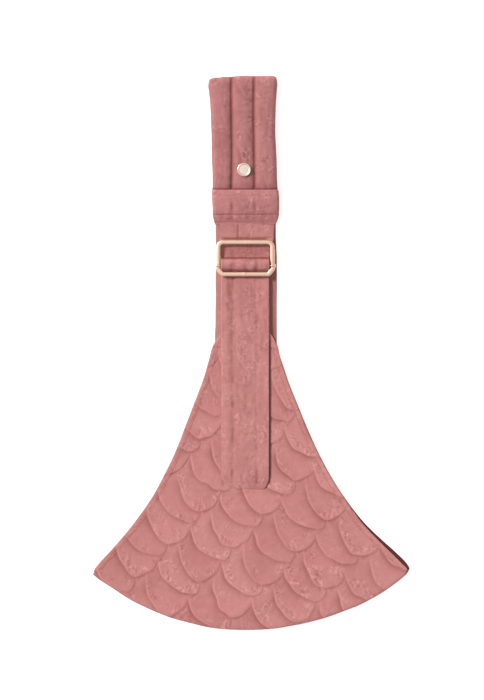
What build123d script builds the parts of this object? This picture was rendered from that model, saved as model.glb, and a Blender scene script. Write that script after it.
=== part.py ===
from build123d import *
import os
from math import cos, sin, pi, radians, hypot

os.makedirs("parts", exist_ok=True)

# ---------------------------------------------------------------------------
# One-shoulder baby sling laid flat on its back. Millimetres. X right, Y towards the
# shoulder, Z up. The origin is the middle of the footprint, on the surface it lies on.
# ---------------------------------------------------------------------------

# fabric layers
OUTER_T = 1.6            # patterned outer fabric
LINING_T = 1.0           # lining fabric
HEM_T = 0.8              # turned hem above the panel
HEM_W = 9.0              # width of a hem
SEAM_W = 9.0             # width of the turned seam allowance
SEAM_T = 1.2

# heights of the layers of the seat pouch
Z_BACK = 0.0
Z_BACK_LINING = Z_BACK + OUTER_T                 # 1.6
Z_SEAM = Z_BACK_LINING + LINING_T                # 2.6
Z_FRONT_LINING = 4.2
Z_FRONT = Z_FRONT_LINING + LINING_T              # 5.2
Z_FRONT_TOP = Z_FRONT + OUTER_T                  # 6.8

# outlines, each a list of (x, y)
BACK_LEFT = [(-47.2, 10.7), (-49.4, 6.8), (-54.7, -8.6), (-61.5, -31.9), (-73.1, -62.8), (-85.0, -93.8),
             (-97.0, -124.7), (-111.7, -155.7), (-128.6, -186.7), (-150.2, -217.6), (-169.0, -240.8),
             (-182.8, -256.3), (-197.1, -271.8), (-202.5, -279.5), (-204.6, -286.4)]
BACK_RIGHT = [(33.6, 10.7), (36.3, -0.9), (41.3, -16.4), (49.1, -39.6), (58.4, -62.8), (71.1, -93.8),
              (84.9, -124.7), (101.0, -155.7), (120.7, -186.7), (144.5, -217.6), (168.2, -240.8),
              (185.5, -256.3), (200.9, -271.8), (204.6, -279.5), (200.4, -286.4)]
ARC = [(-204.6, -286.4), (-193.2, -295.0), (-180.9, -302.8), (-157.3, -318.2), (-124.9, -333.7),
       (-104.6, -341.5), (-76.1, -349.2), (-55.2, -354.4), (-34.2, -356.6), (-5.2, -357.6),
       (31.1, -356.0), (56.5, -351.8), (68.1, -349.2), (97.5, -341.5), (119.1, -333.7), (139.1, -326.0),
       (168.0, -310.5), (190.1, -295.0), (200.4, -286.4)]
FRONT_TOP_Y = 27.0       # where the front panel takes over from the neck strap
RIGHT_INSET = 3.0        # the front panel stops this short of the back panel's right edge near the tip

# straps
STRAP_L, STRAP_R = -37.8, 23.9       # adjusting strap and neck strap
STRAP_T = 1.8
BACK_STRAP_L, BACK_STRAP_R = -45.8, 33.4
NECK_Y = 10.7            # top of the seat panels at the back
PAD_LOW_Y, PAD_TOP_Y = 210.7, 357.6
PAD_L, PAD_R = -50.6, 32.9
PAD_TOP_L = -55.6
PAD_T = 9.0              # thickness of one half of the shoulder pad
PAD_GAP = 0.8
COVER_T = 0.9
CHANNEL_X = (-25.2, 3.9)             # the two quilting lines of the pad
CUFF_L, CUFF_R = -50.2, 36.3
CUFF_LOW_Y = 172.0

# slider
PIN_Y, PIN_Z, PIN_R = 113.0, 11.0, 1.4
FRAME_L, FRAME_R = -45.8, 32.2
FRAME_LOW, FRAME_TOP = 98.8, 146.2
WIN_L, WIN_R, WIN_LOW, WIN_TOP = -38.5, 24.6, 104.6, 139.7
FRAME_T = 3.2
BOSS_R, BOSS_OUT = 2.7, 1.6
LOOP_IN, LOOP_OUT = 1.7, 3.3         # neck strap's loop round the centre bar

# free end
TAIL_START, TAIL_END = 97.2, -175.0
TAIL_Z, TAIL_T = 7.3, 2.4
TAIL_CHAMFER = (8.5, 14.0)

# button
BUTTON_X, BUTTON_Y, BUTTON_R = -9.0, 235.8, 8.8


def ribbon(path, t):
    """Closed outline of a strip of thickness t along a path of (a, b) points."""
    left, right = [], []
    n = len(path)
    for i in range(n):
        if i == 0:
            d = (path[1][0] - path[0][0], path[1][1] - path[0][1])
            k = 1.0
        elif i == n - 1:
            d = (path[-1][0] - path[-2][0], path[-1][1] - path[-2][1])
            k = 1.0
        else:
            a = (path[i][0] - path[i - 1][0], path[i][1] - path[i - 1][1])
            b = (path[i + 1][0] - path[i][0], path[i + 1][1] - path[i][1])
            la, lb = hypot(*a), hypot(*b)
            a = (a[0] / la, a[1] / la)
            b = (b[0] / lb, b[1] / lb)
            d = (a[0] + b[0], a[1] + b[1])
            k = 2.0 / max(0.5, hypot(*d) ** 2) * hypot(*d)
            k = 1.0 / max(0.6, hypot(*d) / 2.0)
        ld = hypot(*d)
        nx, ny = -d[1] / ld, d[0] / ld
        left.append((path[i][0] + nx * t / 2 * k, path[i][1] + ny * t / 2 * k))
        right.append((path[i][0] - nx * t / 2 * k, path[i][1] - ny * t / 2 * k))
    return left + right[::-1]


def inset(line, d):
    """An open line of points moved sideways by d, to its left when d is positive."""
    out = []
    n = len(line)
    for i in range(n):
        a = line[max(0, i - 1)]
        b = line[min(n - 1, i + 1)]
        l = hypot(b[0] - a[0], b[1] - a[1])
        out.append((line[i][0] - (b[1] - a[1]) / l * d, line[i][1] + (b[0] - a[0]) / l * d))
    return out


def closed(points):
    return points + [points[0]]


YZ = Plane.YZ            # local x is row Y and local y is row Z, the normal is +X

back_outline = BACK_LEFT + ARC[1:-1] + BACK_RIGHT[::-1]

front_right = []
for x, y in BACK_RIGHT:
    share = max(0.0, min(1.0, (-200.0 - y) / 50.0))
    front_right.append((x - RIGHT_INSET * share * (1.0 if y > -284 else 0.5), y))
front_left = [(x + 1.0, y) for x, y in BACK_LEFT]
arc_in = [(x, y + 0.6) for x, y in ARC]
front_outline = ([(STRAP_L, FRONT_TOP_Y)] + front_left[1:-1] + [(front_left[-1][0], front_left[-1][1] + 0.6)]
                 + arc_in[1:-1] + front_right[::-1][:-1] + [(STRAP_R, FRONT_TOP_Y)])

# --- back panel ----------------------------------------------------------------
with BuildPart() as back_panel_outer:
    with BuildSketch(Plane.XY.offset(Z_BACK)):
        with BuildLine():
            Polyline(*closed(back_outline))
        make_face()
    extrude(amount=OUTER_T)

lining_left = inset(BACK_LEFT, 1.2)
lining_right = inset(BACK_RIGHT, -1.2)
arc_lining = [(x * 0.993, y + 1.4) for x, y in ARC]
lining_outline = lining_left[:-1] + arc_lining[1:-1] + lining_right[::-1][1:]
with BuildPart() as back_panel_lining:
    with BuildSketch(Plane.XY.offset(Z_BACK_LINING)):
        with BuildLine():
            Polyline(*closed(lining_outline))
        make_face()
    extrude(amount=LINING_T)


def edge_strip(line, side, width, start, stop):
    """Outline of a strip that follows an edge and lies inside it."""
    a = inset(line, side * 1.6)[start:stop]
    b = inset(line, side * (1.6 + width))[start:stop]
    return a + b[::-1]


with BuildPart() as back_hem_left:
    with BuildSketch(Plane.XY.offset(Z_SEAM)):
        with BuildLine():
            Polyline(*closed(edge_strip(BACK_LEFT, 1, HEM_W, 1, -3)))
        make_face()
    extrude(amount=HEM_T)

with BuildPart() as back_hem_right:
    with BuildSketch(Plane.XY.offset(Z_SEAM)):
        with BuildLine():
            Polyline(*closed(edge_strip(BACK_RIGHT, -1, HEM_W, 1, -3)))
        make_face()
    extrude(amount=HEM_T)

seam_out = inset(ARC, 2.0)[1:-1]
seam_in = inset(ARC, 2.0 + SEAM_W)[1:-1]
with BuildPart() as seat_seam_allowance:
    with BuildSketch(Plane.XY.offset(Z_SEAM)):
        with BuildLine():
            Polyline(*closed(seam_out + seam_in[::-1]))
        make_face()
    extrude(amount=SEAM_T)

# --- strap behind ---------------------------------------------------------------
BACK_STRAP_MID = ((BACK_STRAP_L + BACK_STRAP_R) / 2, (NECK_Y + PAD_LOW_Y) / 2)
with BuildPart() as back_strap_outer:
    with BuildSketch(Plane.XY):
        with Locations(BACK_STRAP_MID):
            Rectangle(BACK_STRAP_R - BACK_STRAP_L, PAD_LOW_Y - NECK_Y)
    extrude(amount=OUTER_T)

with BuildPart() as back_strap_lining:
    with BuildSketch(Plane.XY.offset(OUTER_T)):
        with Locations(BACK_STRAP_MID):
            Rectangle(BACK_STRAP_R - BACK_STRAP_L - 2.4, PAD_LOW_Y - NECK_Y)
    extrude(amount=LINING_T)

# --- shoulder pad, rear and front half ---------------------------------------------
PAD_R_TOP = 34.0
pad_outline = [(PAD_L, PAD_LOW_Y), (PAD_L + 0.4, 262.0), (PAD_L - 1.6, 310.0), (PAD_TOP_L, 345.0),
               (PAD_TOP_L + 1.4, 352.0), (PAD_TOP_L + 9.0, 355.6), (PAD_TOP_L + 30.0, PAD_TOP_Y),
               (PAD_R_TOP - 8.0, PAD_TOP_Y), (PAD_R_TOP - 1.5, 355.0), (PAD_R_TOP, 348.0),
               (PAD_R - 1.4, 310.0), (PAD_R, 262.0), (PAD_R + 0.8, PAD_LOW_Y)]
CH_LOW, CH_TOP = PAD_LOW_Y + 3.0, 346.0
channels = [(PAD_L + 3.4, CHANNEL_X[0] - 1.2), (CHANNEL_X[0] + 1.2, CHANNEL_X[1] - 1.2),
            (CHANNEL_X[1] + 1.2, PAD_R - 4.2)]
pad_names = ("left", "center", "right")
FRONT_PAD_Z = PAD_T + PAD_GAP

with BuildPart() as pad_back_cover:
    with BuildSketch(Plane.XY):
        with BuildLine():
            Polyline(*closed(pad_outline))
        make_face()
    extrude(amount=PAD_T)
    for a, b in channels:
        with BuildSketch(Plane.XY.offset(COVER_T)):
            with Locations(((a + b) / 2, (CH_LOW + CH_TOP) / 2)):
                Rectangle(b - a, CH_TOP - CH_LOW)
        extrude(amount=PAD_T - 2 * COVER_T, mode=Mode.SUBTRACT)

with BuildPart() as pad_front_cover:
    with BuildSketch(Plane.XY.offset(FRONT_PAD_Z)):
        with BuildLine():
            Polyline(*closed(pad_outline))
        make_face()
    extrude(amount=PAD_T)
    for a, b in channels:
        with BuildSketch(Plane.XY.offset(FRONT_PAD_Z + COVER_T)):
            with Locations(((a + b) / 2, (CH_LOW + CH_TOP) / 2)):
                Rectangle(b - a, CH_TOP - CH_LOW)
        extrude(amount=PAD_T - 2 * COVER_T, mode=Mode.SUBTRACT)
    # hole for the shank of the button, through the front wall only
    with BuildSketch(Plane.XY.offset(FRONT_PAD_Z + PAD_T - COVER_T - 0.2)):
        with Locations((BUTTON_X, BUTTON_Y)):
            Circle(2.0)
    extrude(amount=COVER_T + 0.4, mode=Mode.SUBTRACT)

padding = {}
for half, base in (("back", 0.0), ("front", FRONT_PAD_Z)):
    for (a, b), word in zip(channels, pad_names):
        with BuildPart() as strip:
            with BuildSketch(Plane.XY.offset(base + COVER_T + 0.1)):
                with Locations(((a + b) / 2, (CH_LOW + CH_TOP) / 2)):
                    RectangleRounded(b - a - 0.4, CH_TOP - CH_LOW - 0.4, 4.0)
            extrude(amount=PAD_T - 2 * COVER_T - 0.2)
            if half == "front" and word == "center":
                # room for the head of the button's tack
                with BuildSketch(Plane.XY.offset(base + PAD_T - COVER_T - 0.1)):
                    with Locations((BUTTON_X, BUTTON_Y)):
                        Circle(5.4)
                extrude(amount=-1.5, mode=Mode.SUBTRACT)
        padding["pad_" + half + "_padding_" + word] = strip

# --- cuff at the lower end of the pad -------------------------------------------------
CUFF_Z0, CUFF_Z1 = 9.6, 19.0
cuff_side = [(PAD_LOW_Y - 0.2, CUFF_Z0), (PAD_LOW_Y - 0.2, CUFF_Z1), (206.0, CUFF_Z1 + 0.6), (192.0, CUFF_Z1 - 1.0),
             (182.0, 14.6), (CUFF_LOW_Y, 11.0), (CUFF_LOW_Y, 8.2), (186.0, 8.8)]
with BuildPart() as shoulder_cuff:
    with BuildSketch(YZ.offset(CUFF_L)):
        with BuildLine():
            Polyline(*closed(cuff_side))
        make_face()
    extrude(amount=CUFF_R - CUFF_L)
    for side in (CUFF_L, CUFF_R):
        with BuildSketch(Plane.XY):
            s = 1 if side == CUFF_L else -1
            with BuildLine():
                Polyline((side - s, 178.0), (side, 178.0), (side + s * 4.5, CUFF_LOW_Y), (side + s * 4.5, CUFF_LOW_Y - 2),
                         (side - s, CUFF_LOW_Y - 2), (side - s, 178.0))
            make_face()
        extrude(amount=30, mode=Mode.SUBTRACT)

STITCH_W, STITCH_H = 0.9, 0.5
# each row lies on the cuff's sloping top between two corners of its side outline
ROWS = ((196.0, (206.0, CUFF_Z1 + 0.6), (192.0, CUFF_Z1 - 1.0)), (178.6, (182.0, 14.6), (CUFF_LOW_Y, 11.0)))
with BuildPart() as cuff_stitching:
    for y0, hi, lo in ROWS:
        slope = (hi[1] - lo[1]) / (hi[0] - lo[0])
        za = lo[1] + (y0 - STITCH_W / 2 - lo[0]) * slope + 0.02
        zb = za + STITCH_W * slope
        with BuildSketch(YZ.offset(CUFF_L + 5.0)):
            with BuildLine():
                Polyline((y0 - STITCH_W / 2, za), (y0 + STITCH_W / 2, zb), (y0 + STITCH_W / 2, zb + STITCH_H),
                         (y0 - STITCH_W / 2, za + STITCH_H), (y0 - STITCH_W / 2, za))
            make_face()
        extrude(amount=CUFF_R - CUFF_L - 10.0)

# --- adjusting strap -------------------------------------------------------------------
with BuildPart() as strap_upper:
    with BuildSketch(YZ.offset(STRAP_L)):
        with BuildLine():
            Polyline(*closed(ribbon([(CUFF_LOW_Y - 0.2, 9.4), (160.0, 7.4), (150.0, 6.1), (139.6, 6.1)], STRAP_T)))
        make_face()
    extrude(amount=STRAP_R - STRAP_L)

over = [(PIN_Y + 4.45 * cos(radians(a)), PIN_Z + 4.45 * sin(radians(a))) for a in range(180, -1, -15)]
thread_path = [(97.9, 6.1), (105.4, 6.1), (108.1, 8.4)] + over + [(118.2, 8.4), (122.6, 6.1), (139.2, 6.1)]
with BuildPart() as strap_threaded:
    with BuildSketch(YZ.offset(STRAP_L)):
        with BuildLine():
            Polyline(*closed(ribbon(thread_path, STRAP_T)))
        make_face()
    extrude(amount=STRAP_R - STRAP_L)


def tail_outline(d):
    """Outline of the free end, d inside its edge."""
    a, b = TAIL_CHAMFER
    return [(STRAP_L + d, TAIL_START - d), (STRAP_L + d, TAIL_END + b - d * 0.2),
            (STRAP_L + a + d * 0.6, TAIL_END + d), (STRAP_R - a * 0.9 - d * 0.6, TAIL_END + d),
            (STRAP_R - d, TAIL_END + 0.82 * b - d * 0.2), (STRAP_R - d, TAIL_START - d)]


CORE_T = 1.0
with BuildPart() as tail_strap:
    with BuildSketch(Plane.XY.offset(TAIL_Z)):
        with BuildLine():
            Polyline(*closed(tail_outline(0.0)))
        make_face()
    extrude(amount=TAIL_T)
    with BuildSketch(Plane.XY.offset(TAIL_Z + (TAIL_T - CORE_T) / 2 - 0.05)):
        with BuildLine():
            Polyline(*closed(tail_outline(2.9)))
        make_face()
    extrude(amount=CORE_T + 0.1, mode=Mode.SUBTRACT)

with BuildPart() as tail_core:
    with BuildSketch(Plane.XY.offset(TAIL_Z + (TAIL_T - CORE_T) / 2)):
        with BuildLine():
            Polyline(*closed(tail_outline(3.0)))
        make_face()
    extrude(amount=CORE_T)

# --- front panel ---------------------------------------------------------------------------
with BuildPart() as front_panel_outer:
    with BuildSketch(Plane.XY.offset(Z_FRONT)):
        with BuildLine():
            Polyline(*closed(front_outline))
        make_face()
    extrude(amount=OUTER_T)

front_lining_left = [(x + 2.2, y) for x, y in BACK_LEFT]
front_lining_right = [(x - 1.2, y) for x, y in front_right]
front_lining_outline = ([(STRAP_L + 1.2, FRONT_TOP_Y)] + front_lining_left[1:-2]
                        + [(x * 0.985, y + 2.2) for x, y in ARC][1:-1]
                        + front_lining_right[::-1][2:-1] + [(STRAP_R - 1.2, FRONT_TOP_Y)])
with BuildPart() as front_panel_lining:
    with BuildSketch(Plane.XY.offset(Z_FRONT_LINING)):
        with BuildLine():
            Polyline(*closed(front_lining_outline))
        make_face()
    extrude(amount=LINING_T)

with BuildPart() as front_hem_left:
    with BuildSketch(Plane.XY.offset(Z_FRONT_TOP)):
        with BuildLine():
            Polyline(*closed(edge_strip(front_left, 1, HEM_W - 2, 1, -1)))
        make_face()
    extrude(amount=HEM_T)

with BuildPart() as front_hem_right:
    with BuildSketch(Plane.XY.offset(Z_FRONT_TOP)):
        with BuildLine():
            Polyline(*closed(edge_strip(front_right, -1, HEM_W - 2, 1, -1)))
        make_face()
    extrude(amount=HEM_T)

# --- neck strap with its loop round the centre bar --------------------------------------------
NECK_Z0, NECK_Z1 = 3.1, 4.9
with BuildPart() as neck_strap:
    with BuildSketch(YZ.offset(STRAP_L + 0.2)):
        with BuildLine():
            Polyline((FRONT_TOP_Y + 0.1, NECK_Z0), (PIN_Y + 2.2, NECK_Z0), (PIN_Y + 2.2, PIN_Z - 2.2),
                     (PIN_Y - 2.2, PIN_Z - 2.2), (PIN_Y - 2.2, NECK_Z1), (FRONT_TOP_Y + 0.1, NECK_Z1),
                     (FRONT_TOP_Y + 0.1, NECK_Z0))
        make_face()
        with Locations((PIN_Y, PIN_Z)):
            Circle(LOOP_OUT)
            Circle(LOOP_IN, mode=Mode.SUBTRACT)
    extrude(amount=STRAP_R - STRAP_L - 0.4)

with BuildPart() as neck_stitching:
    with BuildSketch(Plane.XY.offset(NECK_Z1)):
        with Locations(((STRAP_L + STRAP_R) / 2, 86.0)):
            Rectangle(54.0, 14.0)
            Rectangle(52.4, 12.4, mode=Mode.SUBTRACT)
    extrude(amount=0.25)

# --- slider ----------------------------------------------------------------------------------
FRAME_Z0 = PIN_Z - FRAME_T / 2
with BuildPart() as slider_frame:
    with BuildSketch(Plane.XY.offset(FRAME_Z0)):
        with BuildLine():
            Polyline((FRAME_L, 110.5), (FRAME_L + 11.0, FRAME_LOW), (FRAME_R - 11.0, FRAME_LOW), (FRAME_R, 110.5),
                     (FRAME_R, FRAME_TOP), (FRAME_L, FRAME_TOP), (FRAME_L, 110.5))
        make_face()
    extrude(amount=FRAME_T)
    fillet([e for e in slider_frame.edges().filter_by(Axis.Z)
            if e.center().Y > FRAME_TOP - 1], radius=8.0)
    fillet([e for e in slider_frame.edges().filter_by(Axis.Z)
            if e.center().Y < 111.5], radius=3.0)
    with BuildSketch(YZ.offset(FRAME_L - BOSS_OUT)):
        with Locations((PIN_Y, PIN_Z)):
            Circle(BOSS_R)
    extrude(amount=FRAME_R - FRAME_L + 2 * BOSS_OUT)
    with BuildSketch(Plane.XY.offset(FRAME_Z0 - 3)) as window:
        with BuildLine():
            Polyline((WIN_L, 106.8), (WIN_L + 2.2, WIN_LOW), (WIN_R - 2.2, WIN_LOW), (WIN_R, 106.8),
                     (WIN_R, WIN_TOP), (WIN_L, WIN_TOP), (WIN_L, 106.8))
        make_face()
    extrude(amount=FRAME_T + 6, mode=Mode.SUBTRACT)
    fillet([e for e in slider_frame.edges().filter_by(Axis.Z)
            if abs(e.center().Y - WIN_TOP) < 0.1], radius=2.6)
    with BuildSketch(YZ.offset(FRAME_L - BOSS_OUT + 1.2)):
        with Locations((PIN_Y, PIN_Z)):
            Circle(PIN_R)
    extrude(amount=FRAME_R - FRAME_L + 2 * BOSS_OUT - 2.4, mode=Mode.SUBTRACT)

with BuildPart() as slider_center_bar:
    with BuildSketch(YZ.offset(FRAME_L - BOSS_OUT + 1.2)):
        with Locations((PIN_Y, PIN_Z)):
            Circle(PIN_R)
    extrude(amount=FRAME_R - FRAME_L + 2 * BOSS_OUT - 2.4)

# --- button --------------------------------------------------------------------------------------
BUTTON_Z = FRONT_PAD_Z + PAD_T
with BuildPart() as button_cap:
    with BuildSketch(Plane.XZ.offset(-BUTTON_Y)):
        with BuildLine():
            Polyline((BUTTON_X + 2.3, BUTTON_Z + 0.05), (BUTTON_X + BUTTON_R - 0.9, BUTTON_Z + 0.05),
                     (BUTTON_X + BUTTON_R, BUTTON_Z + 0.9), (BUTTON_X + BUTTON_R, BUTTON_Z + 1.6),
                     (BUTTON_X + BUTTON_R - 0.6, BUTTON_Z + 2.3), (BUTTON_X + BUTTON_R - 1.4, BUTTON_Z + 2.3),
                     (BUTTON_X + BUTTON_R - 2.0, BUTTON_Z + 1.9), (BUTTON_X, BUTTON_Z + 1.7),
                     (BUTTON_X, BUTTON_Z + 1.2), (BUTTON_X + 2.3, BUTTON_Z + 1.2),
                     (BUTTON_X + 2.3, BUTTON_Z + 0.05))
        make_face()
    revolve(axis=Axis((BUTTON_X, BUTTON_Y, 0), (0, 0, 1)))

with BuildPart() as button_tack:
    with BuildSketch(Plane.XY.offset(BUTTON_Z - COVER_T - 1.2)):
        with Locations((BUTTON_X, BUTTON_Y)):
            Circle(5.0)
    extrude(amount=1.1)
    with BuildSketch(Plane.XY.offset(BUTTON_Z - COVER_T - 0.2)):
        with Locations((BUTTON_X, BUTTON_Y)):
            Circle(1.8)
    extrude(amount=COVER_T + 0.2 + 1.1)

pieces = {
    "back_panel_outer": back_panel_outer, "back_panel_lining": back_panel_lining,
    "back_hem_left": back_hem_left, "back_hem_right": back_hem_right,
    "seat_seam_allowance": seat_seam_allowance,
    "back_strap_outer": back_strap_outer, "back_strap_lining": back_strap_lining,
    "pad_back_cover": pad_back_cover, "pad_front_cover": pad_front_cover,
    "shoulder_cuff": shoulder_cuff, "cuff_stitching": cuff_stitching,
    "strap_upper": strap_upper, "strap_threaded": strap_threaded,
    "tail_strap": tail_strap, "tail_core": tail_core,
    "front_panel_outer": front_panel_outer, "front_panel_lining": front_panel_lining,
    "front_hem_left": front_hem_left, "front_hem_right": front_hem_right,
    "neck_strap": neck_strap, "neck_stitching": neck_stitching,
    "slider_frame": slider_frame, "slider_center_bar": slider_center_bar,
    "button_cap": button_cap, "button_tack": button_tack,
}
pieces.update(padding)
for name, builder in pieces.items():
    builder.part.label = name
    export_step(builder.part, "parts/" + name + ".step")
    bb = builder.part.bounding_box()
    print(name, "solids", len(builder.part.solids()), "valid", builder.part.is_valid,
          "vol %.1f" % builder.part.volume,
          "box %.1f %.1f %.1f .. %.1f %.1f %.1f" % (bb.min.X, bb.min.Y, bb.min.Z, bb.max.X, bb.max.Y, bb.max.Z))
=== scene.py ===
import math
import bpy
import numpy as np
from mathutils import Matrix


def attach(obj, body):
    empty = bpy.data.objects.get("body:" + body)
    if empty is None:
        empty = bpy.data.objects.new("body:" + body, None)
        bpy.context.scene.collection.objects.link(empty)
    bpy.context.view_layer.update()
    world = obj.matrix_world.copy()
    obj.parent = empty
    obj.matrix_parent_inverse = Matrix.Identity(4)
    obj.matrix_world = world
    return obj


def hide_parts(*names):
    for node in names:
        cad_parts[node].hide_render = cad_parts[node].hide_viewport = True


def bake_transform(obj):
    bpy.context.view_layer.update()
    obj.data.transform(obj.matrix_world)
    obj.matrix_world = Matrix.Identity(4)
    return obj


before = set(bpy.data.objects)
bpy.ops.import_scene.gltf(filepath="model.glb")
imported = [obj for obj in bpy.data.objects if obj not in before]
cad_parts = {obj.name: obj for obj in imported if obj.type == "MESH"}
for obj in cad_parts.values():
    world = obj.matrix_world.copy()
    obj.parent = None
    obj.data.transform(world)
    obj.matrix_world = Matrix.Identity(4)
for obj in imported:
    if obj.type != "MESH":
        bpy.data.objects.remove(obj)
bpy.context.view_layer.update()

MM = 0.001
rng = np.random.default_rng(7)

# ---------------------------------------------------------------------------
# helpers: numbers are in millimetres until a mesh is made
# ---------------------------------------------------------------------------


def wave_noise(x, y, scale, seed, octaves=3):
    """Smooth noise from sums of sines, about -1 to 1."""
    r = np.random.default_rng(seed)
    out, amp, total = np.zeros_like(np.asarray(x, float)), 1.0, 0.0
    for _ in range(octaves):
        for _ in range(4):
            a = r.uniform(0, 2 * math.pi)
            f = 2 * math.pi / scale * r.uniform(0.7, 1.35)
            out = out + amp * np.sin(f * (x * math.cos(a) + y * math.sin(a)) + r.uniform(0, 2 * math.pi))
            total += amp * amp * 0.5
        amp *= 0.5
        scale *= 0.5
    return out / (2.0 * math.sqrt(total))


def lattice_noise(x, y, seed):
    """Noise on a unit lattice, -1 to 1, from hashed corners."""
    xi, yi = np.floor(x).astype(np.int64), np.floor(y).astype(np.int64)

    def corner(a, b):
        h = (a * 374761393 + b * 668265263 + seed * 2246822519) & 0xFFFFFFFF
        h = ((h ^ (h >> 13)) * 1274126177) & 0xFFFFFFFF
        h = h ^ (h >> 16)
        return h / 0xFFFFFFFF * 2.0 - 1.0

    fx, fy = x - xi, y - yi
    fx, fy = fx * fx * (3 - 2 * fx), fy * fy * (3 - 2 * fy)
    return ((corner(xi, yi) * (1 - fx) + corner(xi + 1, yi) * fx) * (1 - fy)
            + (corner(xi, yi + 1) * (1 - fx) + corner(xi + 1, yi + 1) * fx) * fy)


def smooth_line(points, n, closed=False):
    """n points evenly spaced along a smooth curve through the points."""
    p = np.array(points, float)
    if closed:
        p = np.vstack([p[-1], p, p[0], p[1]])
    else:
        p = np.vstack([2 * p[0] - p[1], p, 2 * p[-1] - p[-2]])
    out = []
    for i in range(1, len(p) - 2):
        a, b, c, d = p[i - 1], p[i], p[i + 1], p[i + 2]
        k0, k1, k2 = (max(1e-6, np.linalg.norm(q)) ** 0.5 for q in (b - a, c - b, d - c))
        t0, t1 = 0.0, k0
        t2, t3 = t1 + k1, t1 + k1 + k2
        t = np.linspace(t1, t2, 24, endpoint=False)[:, None]
        a1 = (t1 - t) / (t1 - t0) * a + (t - t0) / (t1 - t0) * b
        a2 = (t2 - t) / (t2 - t1) * b + (t - t1) / (t2 - t1) * c
        a3 = (t3 - t) / (t3 - t2) * c + (t - t2) / (t3 - t2) * d
        b1 = (t2 - t) / (t2 - t0) * a1 + (t - t0) / (t2 - t0) * a2
        b2 = (t3 - t) / (t3 - t1) * a2 + (t - t1) / (t3 - t1) * a3
        out.append((t2 - t) / (t2 - t1) * b1 + (t - t1) / (t2 - t1) * b2)
    out = np.vstack(out + [p[-2][None]])
    along = np.concatenate([[0], np.cumsum(np.linalg.norm(np.diff(out, axis=0), axis=1))])
    at = np.linspace(0, along[-1], n, endpoint=not closed)
    return np.stack([np.interp(at, along, out[:, k]) for k in range(out.shape[1])], 1)


def at_params(line, t):
    """Points of an evenly spaced line at parameters t from 0 to 1."""
    s = np.linspace(0, 1, len(line))
    return np.stack([np.interp(t, s, line[:, k]) for k in range(line.shape[1])], 1)


def graded(n, length, near=(0.35, 0.8, 1.3, 2.0, 3.0)):
    """Parameters 0..1, finer close to both ends; near is in mm of length."""
    e = np.array([0.0] + list(near)) / length
    inner = np.linspace(e[-1], 1 - e[-1], n)
    return np.concatenate([e[:-1], inner, 1 - e[:-1][::-1]])


def link(name, mesh):
    o = bpy.data.objects.new(name, mesh)
    bpy.context.scene.collection.objects.link(o)
    return o


def build(name, verts, faces, uv=None, attrs=None, smooth=True):
    """An object from points in mm and faces, with a UV map of the cloth's own coordinates and float attributes."""
    mesh = bpy.data.meshes.new(name)
    verts = np.asarray(verts, float)
    mesh.from_pydata((verts * MM).tolist(), [], faces)
    if uv is not None:
        layer = mesh.uv_layers.new(name="Cloth")
        idx = np.empty(len(mesh.loops), np.int32)
        mesh.loops.foreach_get("vertex_index", idx)
        layer.data.foreach_set("uv", (np.asarray(uv, float)[idx] / 100.0).astype(np.float32).ravel())
    for key, values in (attrs or {}).items():
        a = mesh.attributes.new(key, "FLOAT", "POINT")
        a.data.foreach_set("value", np.asarray(values, np.float32).ravel())
    mesh.validate()
    if smooth:
        mesh.polygons.foreach_set("use_smooth", np.ones(len(mesh.polygons), bool))
    mesh.update()
    return link(name, mesh)


def shell(name, top, bottom, uv, attrs=None, stride=1, uv_low=None, low_attrs=None, flip=False):
    """A closed thin shell between two grids that meet at their border."""
    n, m = top.shape[:2]
    verts = [top.reshape(-1, 3).copy()]
    ids = np.arange(n * m).reshape(n, m)
    border = np.zeros((n, m), bool)
    border[0] = border[-1] = True
    border[:, 0] = border[:, -1] = True
    t = verts[0].reshape(n, m, 3)
    t[border] = (top[border] + bottom[border]) / 2
    rows = list(range(0, n - 1, stride)) + [n - 1]
    cols = list(range(0, m - 1, stride)) + [m - 1]
    if len(rows) > 2 and rows[-1] - rows[-2] < stride / 2:
        rows.pop(-2)
    if len(cols) > 2 and cols[-1] - cols[-2] < stride / 2:
        cols.pop(-2)
    low = -np.ones((n, m), int)
    low[border] = ids[border]
    rr, cc = np.array(rows[1:-1]), np.array(cols[1:-1])
    sub = bottom[np.ix_(rr, cc)].reshape(-1, 3)
    low[np.ix_(rr, cc)] = n * m + np.arange(len(sub)).reshape(len(rr), len(cc))
    verts.append(sub)
    faces = np.stack([ids[:-1, :-1], ids[1:, :-1], ids[1:, 1:], ids[:-1, 1:]], -1).reshape(-1, 4).tolist()
    for i in range(len(rows) - 1):
        for j in range(len(cols) - 1):
            r0, r1, c0, c1 = rows[i], rows[i + 1], cols[j], cols[j + 1]
            a = [low[r0, c] for c in (range(c0, c1) if i == 0 else (c0,))]
            b = [low[r, c1] for r in (range(r0, r1) if j == len(cols) - 2 else (r0,))]
            c_ = [low[r1, c] for c in (range(c1, c0, -1) if i == len(rows) - 2 else (c1,))]
            d = [low[r, c0] for r in (range(r1, r0, -1) if j == 0 else (r1,))]
            faces.append([int(q) for q in a + b + c_ + d])
    if flip:
        faces = [f[::-1] for f in faces]
    v = np.vstack(verts)
    uvl = (uv if uv_low is None else uv_low)[np.ix_(rr, cc)].reshape(-1, 2)
    uvs = np.vstack([uv.reshape(-1, 2), uvl])
    out = {}
    for key, values in (attrs or {}).items():
        lows = (low_attrs or {}).get(key)
        extra = lows[np.ix_(rr, cc)].ravel() if lows is not None else np.zeros(len(sub))
        out[key] = np.concatenate([values.ravel(), extra])
    return build(name, v, faces, uvs, out)


def normals2(line):
    """Left normals of an open line of (a, b) points."""
    d = np.gradient(line, axis=0)
    d /= np.maximum(np.linalg.norm(d, axis=1, keepdims=True), 1e-9)
    return np.stack([-d[:, 1], d[:, 0]], 1)


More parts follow.
